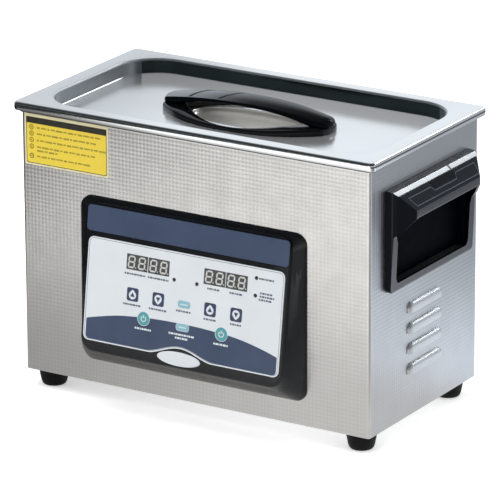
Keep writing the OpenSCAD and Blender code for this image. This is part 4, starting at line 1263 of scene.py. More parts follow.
def spline(points, n):
    """Catmull-Rom curve with n steps to a span."""
    points = np.asarray(points, float)
    last = len(points) - 1
    curve = []
    for i in range(last):
        p0, p1, p2, p3 = (points[max(i - 1, 0)], points[i], points[i + 1],
                          points[min(i + 2, last)])
        for k in range(n):
            t = k / n
            curve.append(0.5 * ((2 * p1) + (-p0 + p2) * t
                                + (2 * p0 - 5 * p1 + 4 * p2 - p3) * t * t
                                + (-p0 + 3 * p1 - 3 * p2 + p3) * t ** 3))
    curve.append(points[-1])
    return np.array(curve)


def film(name, outline, low, high, material, slot, holes=()):
    ob = solid(name, slab(outline, low, high), [material])
    if holes:
        cut(ob, merge([slab(hole, low - 1, high + 1) for hole in holes]))
    finish(ob, "panel_overlay", slot, angle=30)


def overlay_films():
    film("overlay_band", moved(rounded_rect(183, 20.4, 3, 6), (0, 46.5)), FILM_LOW, FILM_TOP,
         "navy_film", "navy_key")
    holes = [key_outline(key, 0.15) for key in KEYS]
    holes += [moved(rounded_rect(19.4, 12.4, 0.3, 3), place) for place in DISPLAYS]
    holes += [circle(1.6, 24, place) for place in LEDS]
    film("overlay_white", white_outline(0), FILM_LOW, FILM_TOP, "white_film", "white_film",
         holes)
    # dark field, raised by a printed film's thickness
    edge = spline(SWOOSH, 6)
    half = SWOOSH_HALF_W
    edge = edge[np.abs(edge[:, 0]) < half]
    lower = notch(1.6)
    lower[:, 1] = np.maximum(lower[:, 1], -49.2)
    outline = np.vstack([
        edge[::-1], [(-half, -33.6), (-half, -46.2), (-86.2, -48.2), (-84.2, -49.2)],
        lower, [(84.2, -49.2), (86.2, -48.2), (half, -46.2), (half, -34.9)]])
    film("overlay_swoosh", outline, FILM_TOP + 0.002, FILM_TOP + 0.05, "navy_film",
         "navy_key", [key_outline(key, 0.55) for key in KEYS[5:]])


def overlay_keyline():
    """Printed hairline round the white field."""
    rings = [on_panel(white_outline(inset), FILM_TOP + 0.02) for inset in (1.0, 1.35)]
    ob = new_object("overlay_keyline", loft(rings), ["print_grey"])
    apply_modifier(ob, "SOLIDIFY", thickness=0.00002, offset=-1.0)
    finish(ob, "panel_overlay", "navy_key")


def overlay_badge():
    """Domed oval in the notch."""
    centre = (-0.6, -51.7)
    oval = moved(circle(1.0, 64) * np.array([19.5, 5.5]), centre)
    rings = [on_panel(oval, FILM_LOW), on_panel(oval, FILM_TOP)]
    for k in range(1, 5):
        rings.append(on_panel(scaled(oval, 1 - 0.03 * k, centre), 0.5 + 0.25 * sin(k * pi / 8)))
    for k in range(1, 5):
        rings.append(on_panel(scaled(oval, 0.88 - 0.2 * k, centre),
                              0.75 + 0.12 * sin(k * pi / 8)))
    piece("overlay_badge", loft(rings, True, True), "white_film", "panel_overlay")


def caption(middle, up, width, height, lift):
    """A row of short dashes that reads as a blank caption strip."""
    dashes = []
    x, end = middle - width / 2, middle + width / 2
    k = 0
    while x < end - 0.6:
        length = min((1.5, 2.3, 1.1, 1.9, 2.7)[k % 5], end - x)
        outline = moved(rounded_rect(length, height, 0.3, 2), (x + length / 2, up))
        dashes.append(slab(outline, FILM_TOP + 0.002 + lift, FILM_TOP + 0.03 + lift))
        x += length + 0.45
        k += 1
    return dashes


def overlay_captions():
    for name, rows, height, lift, material, slot in (
            ("overlay_captions", CAPTIONS, 1.5, 0.0, "print_grey", "navy_key"),
            ("overlay_captions_light", LIGHT_CAPTIONS, 1.55, 0.05, "white_film", "white_film")):
        dashes = [dash for row in rows for dash in caption(*row, height, lift)]
        piece(name, merge(dashes), material, "panel_overlay", slot)


def key_sign(place, sign):
    """Raised print on a key: 1 is white, 2 is dark."""
    if sign == "bar":
        return [(*slab(moved(rounded_rect(6.6, 0.7, 0.3, 3), place), 0.6, 0.69), 1)]
    if sign == "power":                 # open ring and a stroke
        arc = np.array([(cos(t), sin(t)) for t in np.linspace(radians(125), radians(415), 28)])
        ring = np.vstack([arc * 2.5, arc[::-1] * 1.8])
        stroke = moved(rounded_rect(0.75, 2.6, 0.3, 3), (0, 1.7))
        return [(*slab(moved(shape, place), 0.6, 0.70), 1) for shape in (ring, stroke)]
    drop = [(3.3 * sin(t), -0.5 - 3.3 * cos(t))
            for t in np.linspace(-0.72 * pi, 0.72 * pi, 22)] + [(0.5, 3.75), (-0.5, 3.75)]
    arrow = [(-2.0, -1.7), (2.0, -1.7), (0, 1.9)]
    parts = []
    for outline, top, paint in ((drop, 0.69, 1), (arrow, 0.72, 2)):
        outline = np.array(outline)
        if sign == "down":
            outline = (outline * np.array([1, -1]))[::-1]
        parts.append((*slab(moved(outline, place), 0.6, top), paint))
    return parts


def keys():
    for key in KEYS:
        name, place, sign = key
        rings = [on_panel(key_outline(key, grow), height) for grow, height in
                 ((0, -1.4), (0, 0.38), (-0.1, 0.52), (-0.3, 0.62), (-0.7, 0.65))]
        parts = [loft(rings, True, True)] + key_sign(place, sign)
        piece("keycap_" + name, merge_painted(parts),
              [KEY_COLOURS[sign], "white_film", "navy_key"], "key_" + name,
              body="key_" + name)


def digit_segments():
    """Outlines of the seven slanted bars of one digit, about its middle."""
    width, height, thick, gap = 5.2, 8.6, 1.25, 0.15

    def segment(x, y, length, vertical):
        end, side = length / 2, thick / 2
        bar = np.array([(-end, 0), (-end + side, -side), (end - side, -side),
                        (end, 0), (end - side, side), (-end + side, side)])
        if vertical:
            bar = np.column_stack([-bar[:, 1], bar[:, 0]])
        bar = bar + np.array([x, y])
        bar[:, 0] += bar[:, 1] * 0.09
        return bar

    bars = [segment(0, y, width - 2 * gap, False) for y in (height / 2, 0, -height / 2)]
    return bars + [segment(sx * width / 2, sy * height / 4, height / 2 - 2 * gap, True)
                   for sx in (-1, 1) for sy in (-1, 1)]


def displays():
    """Windows with unlit digits."""
    parts = []
    for x, y in DISPLAYS:
        window = moved(rounded_rect(19.1, 12.1, 0.3, 3), (x, y))
        parts.append((*slab(window, -6.7, 0.28), 0))
        parts.append((*slab(window, 0.28, 0.32), 0))
        for offset in (-4.7, 4.7):
            for bar in digit_segments():
                parts.append((*slab(moved(bar, (x + offset - 0.4, y)), 0.30, 0.36), 1))
            dot = circle(0.55, 12, (x + offset + 3.4, y - 4.2))
            parts.append((*slab(dot, 0.30, 0.36), 1))
    piece("display_windows", merge_painted(parts), ["display_grey", "digit_off"],
          "display_modules")


def indicator_lenses():
    parts = []
    for place in LEDS:
        rings = [on_panel(circle(1.45, 24, place), height) for height in (-6.0, 0.3)]
        for k in range(1, 5):
            angle = k * pi / 10
            rings.append(on_panel(circle(1.45 * cos(angle), 24, place),
                                  0.3 + 0.5 * sin(angle)))
        parts.append(loft(rings, True, True))
    piece("indicator_lenses", merge(parts), "led_dark", "indicator_leds")


# ------------------------------------------------------------------ front sticker
STICKER_X0, STICKER_X1, STICKER_Z0, STICKER_Z1 = -154.6, -76.6, 185.3, 227.4
PALE, YELLOW, INK, OLIVE = range(4)
# drop from the top edge, length of each ruled line
STICKER_ROWS = [(11.3, 58), (16.4, 54), (21.6, 60), (27.0, 55), (30.0, 20), (34.6, 47)]


def sticker():
    x0, x1, z0, z1 = STICKER_X0, STICKER_X1, STICKER_Z0, STICKER_Z1
    parts = []

    def layer(outline, low, high, paint):
        parts.append((*extrude(outline, at_y, -HALF_D - low, -HALF_D - high), paint))

    def patch(left, right, bottom, top, low, high, radius, paint):
        outline = rounded_rect(right - left, top - bottom, radius, 4)
        layer(moved(outline, ((left + right) / 2, (bottom + top) / 2)), low, high, paint)

    patch(x0, x1, z0, z1, 0.0, 0.2, 1.0, PALE)
    patch(x0 + 1.5, x1 - 1.5, z0 + 1.4, z1 - 5.0, 0.19, 0.215, 1.6, INK)
    patch(x0 + 2.05, x1 - 2.05, z0 + 1.95, z1 - 7.4, 0.20, 0.235, 1.3, YELLOW)
    patch(x0 + 1.5, x1 - 1.5, z1 - 8.0, z1 - 2.9, 0.19, 0.24, 0.5, INK)
    for k, (drop, length) in enumerate(STICKER_ROWS):
        z = z1 - drop
        x = x0 + 11.5
        j = 0
        while x < x0 + 11.5 + length:
            word = (3.2, 5.1, 2.2, 4.0, 6.1)[(j + k) % 5]
            q = 0.0
            while q < word - 0.4:       # short strokes stand in for lettering
                height = (0.75, 0.55, 0.95, 0.6)[(j * 3 + int(q * 2) + k) % 4]
                patch(x + q, x + q + 0.62, z - height, z + 0.75, 0.22, 0.25, 0.2, OLIVE)
                q += 1.02
            x += word + 0.9
            j += 1
        if k == 4:                      # a continued line has no bullet
            continue
        ring = INK if k == 5 else OLIVE
        centre = (x0 + 6.4, z)
        layer(circle(2.05, 24, centre), 0.22, 0.25, ring)
        layer(circle(1.4, 24, centre), 0.23, 0.26, YELLOW)
        layer(circle(0.6, 16, centre), 0.24, 0.27, ring)
    piece("sticker_film", merge_painted(parts),
          ["label_pale", "label_yellow", "label_ink", "label_olive"], "info_sticker",
          "label_yellow")


# ------------------------------------------------------------------ feet
FOOT_X, FOOT_Y = 141.6, 67.9
# radius, height: hollow bottom, flared side, flat top
FOOT_PROFILE = [
    (4.6, 6), (4.6, 0.5), (5.1, 0.0), (7.9, 0.0), (8.9, 0.35), (9.6, 1.1), (10.1, 2.4),
    (10.5, 3.4), (12.1, 12.2), (12.5, 13.2), (12.5, 14.0), (12.1, 14.48), (2.3, 14.48), (2.3, 6)]


def feet():
    parts = [lathe(FOOT_PROFILE, (a * FOOT_X, b * FOOT_Y, 0), "z", 64, close=True)
             for a in (-1, 1) for b in (-1, 1)]
    piece("rubber_feet", merge(parts), "black_rubber", "feet", angle=40)


# ------------------------------------------------------------------ basket
BASKET_HALF_W, BASKET_HALF_D = 136.0, 64.0
BASKET_LOW, BASKET_HIGH = 139.4, 199.6
MESH_WIRE_R, FRAME_WIRE_R = 0.62, 1.6
HOOP_Z, SKID_X, SKID_Z = 200.6, 92.0, 131.0


def u_path(half, low, high, radius, n=6):
    """U of wire: down one side, across and up the other; (distance, z)."""
    points = [(-half, high)]
    for side, start in ((-1, pi), (1, 1.5 * pi)):
        for k in range(n + 1):
            t = start + k * pi / 2 / n
            points.append((side * (half - radius) + radius * cos(t),
                           low + radius + radius * sin(t)))
    points.append((half, high))
    return np.array(points)


def basket_mesh():
    parts = []
    path = u_path(BASKET_HALF_W - 0.6, BASKET_LOW, BASKET_HIGH, 6)
    for y in np.linspace(-56, 56, 15):
        parts.append(tube(at_y(path, y), MESH_WIRE_R, 6))
    path = u_path(BASKET_HALF_D - 0.6, BASKET_LOW + 1.15, BASKET_HIGH, 6)
    for x in np.linspace(-128, 128, 33):
        parts.append(tube(at_x(path, x), MESH_WIRE_R, 6))
    hoop = rounded_rect(2 * BASKET_HALF_W - 3.4, 2 * BASKET_HALF_D - 3.4, 7, 5)
    for z in np.linspace(BASKET_LOW + 9, BASKET_HIGH - 7, 6):
        parts.append(tube(at_z(hoop, z), MESH_WIRE_R, 6, closed=True))
    piece("basket_wires", merge(parts), "steel_polished", "basket_mesh", body="basket",
          angle=60)


def basket_frame():
    """Top hoop, a bail at each end and two skids on short posts."""
    parts = [tube(level_rect(272.8, 128.8, 8.4, HOOP_Z), FRAME_WIRE_R, 12, closed=True)]
    bail = [(-33, HOOP_Z), (-33, 208), (-33, 213.2)]
    for middle, steps in ((-27, [pi - k * pi / 12 for k in range(1, 7)]),
                          (27, [pi / 2 - k * pi / 12 for k in range(7)])):
        bail += [(middle + 6 * cos(angle), 213.2 + 4.4 * sin(angle)) for angle in steps]
    bail += [(33, 208), (33, HOOP_Z)]
    skid = [(y, SKID_Z) for y in (-52, -50, 50, 52)]
    for side in (-1, 1):
        parts.append(tube(at_x(bail, side * 136.4), FRAME_WIRE_R, 12))
        parts.append(tube(at_x(skid, side * SKID_X), FRAME_WIRE_R, 12))
        for b in (-1, 1):
            parts.append(cylinder(1.4, SKID_Z, BASKET_LOW, (side * SKID_X, b * 46.5, 0),
                                  "z", 14))
    piece("basket_hoop_and_bails", merge(parts), "steel_polished", "basket_frame",
          body="basket", angle=60)


# ------------------------------------------------------------------ fan
ROTOR_Y = 82.7          # the hub's face is 1 mm in front of this


def fan_guard():
    parts = []
    for radius in (7, 14, 21, 28):
        parts.append(tube(at_y(circle(radius, 64, (0, FAN_Z)), 84.4), 0.88, 10, closed=True))
    s = np.linspace(-32, 32, 9)
    for angle in (pi / 4, -pi / 4):
        spoke = np.column_stack([s * cos(angle), s * sin(angle) + FAN_Z])
        parts.append(tube(at_y(spoke, 84.42), 0.9, 10))
    for a in (-1, 1):
        for b in (-1, 1):
            eye = circle(3.5, 28, (a * FAN_SCREW, b * FAN_SCREW + FAN_Z))
            parts.append(tube(at_y(eye, 84.45), 0.86, 8, closed=True))
    piece("wire_guard", merge(parts), "steel_polished", "fan_guard", "zinc_steel", angle=60)


def rotor_blade(start):
    """A cambered, twisted blade from hub to tip, starting at an angle round the hub."""
    hub_r, tip_r = 14.6, 27.1
    sections = []
    for i in range(9):
        t = i / 8
        radius = hub_r + (tip_r - hub_r) * t
        pitch = radians(52 - 16 * t)
        chord = 8.6 + 2.2 * t
        sweep = start + 0.30 * t * t
        upper, lower = [], []
        for j in range(9):
            s = -0.5 + j / 8
            camber = 0.9 * (1 - 4 * s * s)
            thick = 0.62 * (1 - (2 * abs(s)) ** 3) + 0.08
            along = s * chord
            tangent = along * cos(pitch) - camber * sin(pitch)
            depth = ROTOR_Y - 6.6 + along * sin(pitch) + camber * cos(pitch)
            for skin, offset in ((upper, thick), (lower, -thick)):
                angle = sweep + (tangent - offset * sin(pitch)) / radius
                skin.append((radius * cos(angle), depth + offset * cos(pitch),
                             FAN_Z + radius * sin(angle)))
        sections.append(np.array(upper + lower[::-1]))
    return loft(sections, True, True)


def fan_rotor():
    # radius, distance in front of ROTOR_Y
    hub = [(1.5, 11.5), (13.6, 11.5), (13.6, 12), (15, 12), (15, 2.2), (14.6, 1.4),
           (13.8, 1.02), (1.5, 1.02)]
    parts = [lathe([(radius, ROTOR_Y - inset) for radius, inset in hub], (0, 0, FAN_Z), "y",
                   48, close=True)]
    parts += [rotor_blade(k * 2 * pi / 7) for k in range(7)]
    piece("rotor_blades", merge(parts), "black_satin", "fan_rotor", "black_matte",
          body="fan_rotor", angle=45)


def rear_screws():
    """Pan heads with cross recesses, round the fan and beside the mains inlet."""
    # x, z, y of the seat, head radius, head height
    screws = [(a * FAN_SCREW, FAN_Z + b * FAN_SCREW, 85.3, 3.6, 2.0)
              for a in (-1, 1) for b in (-1, 1)]
    screws += [(INLET[0] + a * 20, INLET[1], 86.0, 2.7, 1.6) for a in (-1, 1)]
    parts, upright, level = [], [], []
    for x, z, seat, radius, height in screws:
        profile = [(0.0, seat), (radius, seat), (radius, seat + 0.25 * height)]
        for k in range(1, 6):
            t = k * pi / 10
            profile.append((radius * (0.35 + 0.65 * cos(t)),
                            seat + 0.25 * height + 0.75 * height * sin(t)))
        profile.append((0.0, seat + height))
        parts.append(lathe(profile, (x, 0, z), "y", 32))
        parts.append(cylinder(radius * 0.52, seat - 14, seat + 0.2, (x, 0, z), "y", 20))
        narrow, wide = radius * 0.14, radius * 0.62
        depth = (seat + height * 0.45, seat + height + 1)
        upright.append(box_about((x, z), narrow, wide, *depth))
        level.append(box_about((x, z), wide, narrow, *depth))
    ob = solid("rear_pan_heads", merge(parts), ["zinc_steel"])
    cut(ob, merge(upright))
    cut(ob, merge(level))
    finish(ob, "rear_screws", "zinc_steel")


# ------------------------------------------------------------------ mains inlet and switch
def stepped_plate(centre, steps):
    """Plate on the back wall; steps: width, height, corner radius, y."""
    rings = [at_y(moved(rounded_rect(width, height, radius, 5), centre), y)
             for width, height, radius, y in steps]
    return loft(rings, True, True)


def mains_inlet():
    x, z = INLET
    ob = solid("mains_inlet", stepped_plate(INLET, (
        (50, 30, 6, SEAT), (50, 30, 6, 85.2), (49.4, 29.4, 5.7, 85.8),
        (48.6, 28.6, 5.3, 86.0))), ["black_satin"])
    cut(ob, box_about(INLET, 14, 13.5, 59.5, 84.0), "UNION")
    socket = [(-12.1, -8.2), (12.1, -8.2), (12.1, 4.2), (8.1, 8.2), (-8.1, 8.2), (-12.1, 4.2)]
    cut(ob, extrude(moved(socket, (x, z + 4.5)), at_y, 67.5, 90))
    cut(ob, box((92.8, 64.5, 33.4), (117.2, 90, 41.4)))
    cut(ob, merge([cylinder(1.6, 82, 90, (x + a * 20, 0, z), "y", 24) for a in (-1, 1)]))
    bevel(ob, 0.3, 2, 40)
    finish(ob, "power_inlet", "black_satin")
    pins = []
    for offset in ((-7, 2.5), (7, 2.5), (0, 6.5)):
        pin = moved(rounded_rect(2, 4, 0.5, 3), (x + offset[0], z + offset[1]))
        pins.append(loft([at_y(pin, 66.5), at_y(pin, 81.2), at_y(scaled(pin, 0.55), 82.0)],
                         True, True))
    piece("inlet_pins", merge(pins), "zinc_steel", "power_inlet")


def fuse_drawer():
    front = moved(rounded_rect(24, 7.6, 0.5, 3), (INLET[0], 37.4))
    rings = [at_y(front, 64.9), at_y(front, 85.7),
             at_y(scaled(front, np.array([0.985, 0.95])), 86.1)]
    ob = solid("fuse_drawer_body", loft(rings, True, True), ["black_satin"])
    cut(ob, box((94.3, 67.1, 34.8), (115.7, 73.1, 44)))
    cut(ob, box((99.8, 85.9, 36.0), (110.2, 87.08, 38.8)), "UNION")
    cut(ob, merge([box((100.6 + i * 1.8, 86.6, 35.5), (101.3 + i * 1.8, 88, 39.5))
                   for i in range(5)]))
    finish(ob, "fuse_drawer", "black_satin", body="fuse_carrier")


def switch_body():
    x, z = SWITCH
    ob = solid("switch_body", stepped_plate(SWITCH, (
        (15, 21, 1.2, SEAT), (15, 21, 1.2, 84.7), (14.4, 20.4, 1.0, 85.1))), ["black_satin"])
    cut(ob, box_about(SWITCH, 6.5, 9.5, 67.5, 84), "UNION")
    cut(ob, box_about(SWITCH, 5.1, 9.0, 75.5, 90))
    for offset in (-5, 5):
        cut(ob, box_about((x, z + offset), 3, 0.4, 60.5, 68), "UNION")
    bevel(ob, 0.2, 2, 40)
    finish(ob, "rocker_switch_body", "black_satin")


def rocker():
    """Rocker tipped 8 degrees about its pivot, with a bar and a ring raised on it."""
    x, z = SWITCH
    pivot_y = 82.0

    def tipped(out, up):
        return (pivot_y + out * TILT_COS - up * TILT_SIN, z + out * TILT_SIN + up * TILT_COS)

    def face_out(up):
        return 2.55 + 0.9 * (abs(up) / 7.0) ** 2

    def mark(outline, middle):
        rings = [[(x + side, *tipped(face_out(middle + up) + height, middle + up))
                  for side, up in outline] for height in (-0.1, 0.12)]
        return (*loft(rings, True, True), 1)

    # distance out from the pivot, distance up
    profile = [(-4.5, -3), (-1, -8.1), (2.9, -8.1), (3.3, -7.9), (3.5, -7.5)]
    profile += [(face_out(k / 6 * 7.0), k / 6 * 7.0) for k in range(-6, 7)]
    profile += [(3.5, 7.5), (3.3, 7.9), (2.9, 8.1), (-1, 8.1), (-4.5, 3)]
    section = np.array([tipped(out, up) for out, up in profile])
    end = scaled(section, 0.985)
    rings = [at_x(end, 100.12), at_x(section, 100.5), at_x(section, 109.5), at_x(end, 109.88)]
    parts = [loft(rings, True, True), cylinder(1.5, 99.0, 111.0, (0, pivot_y, z), "x", 24),
             mark(rounded_rect(0.7, 3.2, 0.3, 3), 4.4)]
    t = np.linspace(0, 2 * pi, 25)[:-1]
    for k in range(24):
        a, b = t[k], t[(k + 1) % 24]
        parts.append(mark([(radius * cos(angle), radius * sin(angle)) for radius, angle in
                           ((1.6, a), (1.6, b), (1.05, b), (1.05, a))], -4.4))
    piece("rocker_cap", merge_painted(parts), ["black_gloss", "white_film"], "rocker",
          body="power_rocker")


# ------------------------------------------------------------------ drain valve
STEM_Y = 107.0          # upright stem through the middle of the ball body
LEVER_LENGTH = 34.0
# radius, y of the outlet neck and hose barbs, then the bore
BARBS = [
    (9.0, 116.6), (9.0, 121.8), (8.3, 122.5), (7.3, 122.5), (6.4, 123.6), (6.4, 125.5),
    (7.0, 126.6), (6.4, 128.6), (6.4, 129.4), (7.0, 130.5), (6.4, 132.5), (6.4, 133.3),
    (7.0, 134.4), (6.3, 137.2), (5.6, 138.4), (5.0, 138.5), (5.0, 126.0), (0.001, 126.0)]


def drain_valve():
    x, z = DRAIN_X, DRAIN_Z
    hexagon = circle(24 / sqrt(3), 6, (x, z), pi / 6)
    chamfered = scaled(hexagon, 0.93, (x, z))
    near, far = 85.0, 95.5
    nut = loft([at_y(chamfered, near), at_y(hexagon, near + 0.9), at_y(hexagon, far - 0.9),
                at_y(chamfered, far)], True, True)
    profile = [(0.001, 95.0), (10.5, 95.0), (10.5, 96.5)]
    for k in range(25):
        angle = radians(-53 + k * (53 + 46) / 24)
        profile.append((13 * cos(angle), STEM_Y + 13 * sin(angle)))
    neck = [(0.001, 3), (6.0, 3), (6.0, 16.2), (5.4, 17.0), (3.1, 17.0), (0.001, 17.0)]
    ob = solid("drain_valve", nut, ["brass"])
    cut(ob, lathe(profile + BARBS, (x, 0, z), "y", 64), "UNION")
    cut(ob, lathe(neck, (x, STEM_Y, z), "z", 40), "UNION")
    cut(ob, cylinder(3.05, 0, 30, (x, STEM_Y, z), "z", 32))
    finish(ob, "drain_valve_body", "brass")
    gasket = [(7.6, SEAT), (11.4, SEAT), (12.0, 84.0), (12.0, 84.6), (11.5, 85.0), (7.6, 85.0)]
    piece("drain_gasket_ring", lathe(gasket, (x, 0, z), "y", 48, close=True),
          "black_rubber", "drain_gasket")


def drain_lever():
    """Lever along +X in a coloured sleeve, round at the stem and at its tip."""
    x, z = DRAIN_X, DRAIN_Z
    outline = []
    for k in range(25):
        angle = radians(38 + k * (360 - 76) / 24)
        outline.append((7.5 * cos(angle), 7.5 * sin(angle)))
    outline += [(9, -4.4), (14, -4.6), (28, -5.0)]
    for k in range(17):
        angle = radians(-140 + k * 280 / 16)
        outline.append((LEVER_LENGTH + 7 * cos(angle), 7 * sin(angle)))
    outline = np.array(outline + [(28, 5.0), (14, 4.6), (9, 4.4)])

    def ring(inset, height):
        points = []
        for i, point in enumerate(outline):
            edge = outline[(i + 1) % len(outline)] - outline[i - 1]
            normal = np.array([edge[1], -edge[0]])
            normal /= np.linalg.norm(normal) + 1e-9
            points.append(point - normal * inset)
        return at_z(moved(points, (x, STEM_Y)), z + height)

    rings = [ring(inset, height) for inset, height in
             ((0.8, 17.22), (0.25, 17.5), (0.0, 18.0), (0.0, 19.2), (0.25, 19.75), (0.8, 20.0))]
    ob = solid("lever_sleeve", loft(rings, True, True), ["lever_red"])
    cut(ob, cylinder(3.05, 10, 30, (x, STEM_Y, z), "z", 32))
    cut(ob, box((x + 13, STEM_Y - 1.6, z + 19.5), (x + 30, STEM_Y + 1.6, z + 21)))
    finish(ob, "drain_lever", "lever_red", body="drain_handle", angle=40)
    hexagon = circle(10 / sqrt(3), 6, (x, STEM_Y))
    nut = [at_z(hexagon, z + 20.02), at_z(hexagon, z + 22.5),
           at_z(scaled(hexagon, 0.9, (x, STEM_Y)), z + 23.0)]
    stem = [(0.001, 6.2), (3.0, 6.2), (3.0, 23.4), (2.5, 24.0), (0.001, 24.0)]
    piece("stem_and_nut", merge([loft(nut, True, True),
                                 lathe(stem, (x, STEM_Y, z), "z", 32)]),
          "zinc_steel", "drain_stem", body="drain_handle")


# ------------------------------------------------------------------ floor, world, lights, camera
def floor_material():
    """White paper; polished metal sees a painted pattern of sheets in it instead."""
    material = bpy.data.materials.new("floor_paper")
    graph = Graph(material)
    noise = graph.add("TexNoise", {"Vector": graph.add("TexCoord", output="Object"),
                                   "Scale": 3.0})
    paper = graph.add("BsdfDiffuse", {
        "Color": graph.remap(noise, (0.0, 1.0), to=(0.90, 0.94), smooth=False)})
    place = graph.node("SeparateXYZ", {0: graph.add("NewGeometry", output="Position")})
    x, y = place.outputs["X"], place.outputs["Y"]
    times, remap = graph.times, graph.remap

    def one_minus(value):
        return graph.math("SUBTRACT", 1.0, value)

    # brightness, in metres over the floor: the front sheet ends to the left
    sheet = graph.math("ADD", remap(x, (-0.49, -0.41), to=(0.02, 1.06)),
                       remap(x, (-0.36, -0.15), to=(0.0, -0.05)))
    # it dims close to the machine, least on the right
    close = remap(y, (-0.55, -0.24))
    close_level = remap(x, (-0.28, 0.12), to=(0.30, 0.49))
    near = times(one_minus(times(close, one_minus(close_level))),
                 remap(x, (-0.22, 0.10), to=(0.96, 1.04)))
    frontness = remap(y, (0.02, 0.12), to=(1.0, 0.0))
    right = one_minus(times(remap(x, (0.24, 0.46), to=(0.0, 0.66)),
                            remap(y, (-0.05, 0.12), to=(1.0, 0.0))))
    front = times(times(sheet, near), right)
    behind = remap(y, (0.10, 0.46), to=(0.74, 0.29))
    level = graph.math("ADD", times(front, frontness), times(one_minus(frontness), behind))
    cool, warm = (0.94, 0.99, 1.06, 1), (1.0, 0.995, 0.985, 1)
    reflection = graph.add("Emission", {"Color": graph.mix(frontness, cool, warm),
                                        "Strength": times(level, 1.76)})
    rays = graph.node("LightPath").outputs
    lifted = graph.add("AddShader", {0: paper, 1: graph.add("Emission", {"Strength": 0.42})})
    seen = graph.mix_shaders(rays["Is Camera Ray"], paper, lifted)
    graph.node("OutputMaterial", {
        "Surface": graph.mix_shaders(rays["Is Glossy Ray"], seen, reflection)})
    return material


def floor():
    half, z = 6.0, -0.0002      # metres
    mesh = bpy.data.meshes.new("floor")
    mesh.from_pydata([(-half, -half, z), (half, -half, z), (half, half, z), (-half, half, z)],
                     [], [(0, 1, 2, 3)])
    ob = bpy.data.objects.new("floor", mesh)
    scene.collection.objects.link(ob)
    mesh.materials.append(floor_material())


# position from the horizon up, colour: a dark studio towards -Y, a lighter one towards +Y
FRONT_SKY = [(0.0, (0.5, 0.5, 0.5)), (0.015, (0.035, 0.045, 0.048)), (0.50, (0.03, 0.04, 0.043)),
             (0.80, (0.05, 0.06, 0.065)), (1.0, (0.10, 0.11, 0.12))]
BACK_SKY = [(0.0, (0.60, 0.65, 0.71)), (0.22, (0.80, 0.855, 0.91)), (0.38, (0.80, 0.855, 0.91)),
            (0.45, (0.50, 0.53, 0.56)), (0.60, (0.24, 0.25, 0.26)), (0.82, (0.14, 0.15, 0.16)),
            (1.0, (0.10, 0.11, 0.12))]
SKY_STRENGTH = 4.0      # the ramps hold the colours divided by this


def world():
    """Reflections see a studio; the camera and diffuse light see plain white."""
    studio = bpy.data.worlds.new("studio")
    scene.world = studio
    graph = Graph(studio)
    direction = graph.node("SeparateXYZ", {0: graph.add("TexCoord", output="Generated")})
    x, y, z = (direction.outputs[axis] for axis in "XYZ")

    def sky(stops):
        node = graph.node("ValToRGB", {0: z})
        elements = node.color_ramp.elements
        while len(elements) < len(stops):
            elements.new(0.5)
        for element, (position, colour) in zip(elements, stops):
            element.position = position
            element.color = tuple(v / SKY_STRENGTH for v in colour) + (1,)
        return node.outputs[0]

    def background(colour, strength):
        return graph.add("Background", {"Color": colour, "Strength": strength})

    front, back = sky(FRONT_SKY), sky(BACK_SKY)
    # the right is dimmer than the left
    room = background(graph.mix(graph.remap(y, (-0.10, 0.16)), front, back),
                      graph.remap(x, (-0.35, 0.45), to=(SKY_STRENGTH, 2.7)))
    # long softbox hung behind, to the right, above the lid's line of sight
    band = graph.times(graph.remap(z, (0.47, 0.51)), graph.remap(z, (0.63, 0.67), to=(1, 0)))
    sides = graph.times(graph.remap(y, (0.70, 0.76)), graph.remap(x, (0.02, 0.08)))
    softbox = background((0.97, 0.99, 1.0, 1), graph.times(graph.times(band, sides), 10.0))
    reflected = graph.add("AddShader", {0: room, 1: softbox})
    rays = graph.node("LightPath").outputs
    white = (1, 1, 1, 1)
    shader = graph.mix_shaders(rays["Is Diffuse Ray"], reflected, background(white, 0.62))
    shader = graph.mix_shaders(rays["Is Camera Ray"], shader, background(white, 1.05))
    graph.node("OutputWorld", {"Surface": shader})


def area_light(name, location, target, size, power, colour=(1, 1, 1)):
    """Square light aimed at a target, in metres; it has no mirror image."""
    light = bpy.data.lights.new(name, "AREA")
    light.shape = "RECTANGLE"
    light.size = light.size_y = size
    light.energy = power
    light.color = colour
    ob = bpy.data.objects.new(name, light)
    scene.collection.objects.link(ob)
    ob.location = location
    ob.rotation_mode = "QUATERNION"
    aim = Vector(target) - Vector(location)
    ob.rotation_quaternion = aim.to_track_quat("-Z", "Y")
    ob.visible_glossy = False


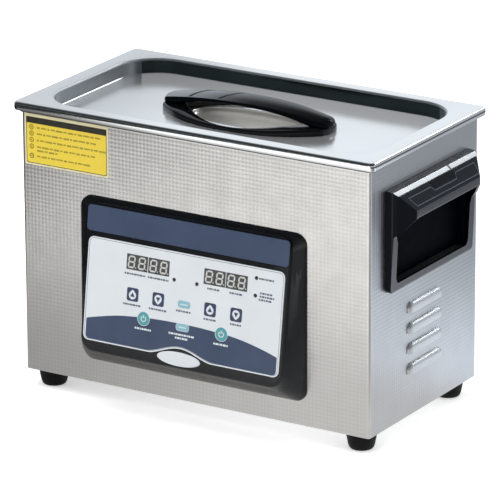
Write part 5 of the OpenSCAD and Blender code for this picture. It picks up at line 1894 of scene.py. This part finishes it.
def lights():
    area_light("top_box", (-0.3, -0.3, 2.0), (0, 0, 0.1), size=1.8, power=26)
    area_light("left_box", (-1.6, -1.1, 1.1), (0, 0, 0.12), size=1.0, power=6,
               colour=(1, 0.99, 0.97))
    area_light("right_box", (1.7, 0.2, 1.3), (0, 0, 0.12), size=0.8, power=4,
               colour=(0.95, 0.98, 1.0))


def camera():
    """Long lens from the front right, a little above the machine."""
    azimuth, elevation, roll = radians(31.612), radians(18.409), radians(-0.282)
    distance, target_z = 3653.9, 106.7
    shift_right, shift_up = 0.10961, 8.7591
    back = np.array([sin(azimuth) * cos(elevation), -cos(azimuth) * cos(elevation),
                     sin(elevation)])
    level_right = np.cross(-back, [0, 0, 1.0])
    level_right /= np.linalg.norm(level_right)
    level_up = np.cross(level_right, -back)
    right = cos(roll) * level_right + sin(roll) * level_up
    up = -sin(roll) * level_right + cos(roll) * level_up
    target = np.array([0, 0, target_z]) + shift_right * right + shift_up * up
    location = to_metres(target + back * distance)[0]
    lens = bpy.data.cameras.new("camera")
    lens.lens, lens.sensor_width = 334.25, 36.0
    lens.clip_start, lens.clip_end = 0.1, 60
    ob = bpy.data.objects.new("camera", lens)
    scene.collection.objects.link(ob)
    matrix = np.eye(4)
    matrix[:3] = np.column_stack([right, up, back, location])
    ob.matrix_world = Matrix(matrix.tolist())
    scene.camera = ob


# ------------------------------------------------------------------ build
def paint_cad_nodes():
    slots = {part["node"]: part["material_slot"]
             for part in frame["record"].get("subparts", [])}
    for name, ob in frame["nodes"].items():
        ob.data.materials.clear()
        ob.data.materials.append(MATERIALS.get(slots.get(name), MATERIALS["black_matte"]))


paint_cad_nodes()
housing_walls()
housing_flanges()
louvres()
tank()
lid_pan()
lid_handle_base()
lid_handle_arch()
lid_handle_lines()
side_handle("side_grip_right", 1, "side_handle_right")
side_handle("side_grip_left", -1, "side_handle_left")
bezel()
overlay_films()
overlay_keyline()
overlay_badge()
overlay_captions()
keys()
displays()
indicator_lenses()
sticker()
feet()
basket_mesh()
basket_frame()
fan_guard()
fan_rotor()
rear_screws()
mains_inlet()
fuse_drawer()
switch_body()
rocker()
drain_valve()
drain_lever()
floor()
world()
lights()
camera()
scene.view_settings.view_transform = "Standard"
scene.view_settings.look = "None"
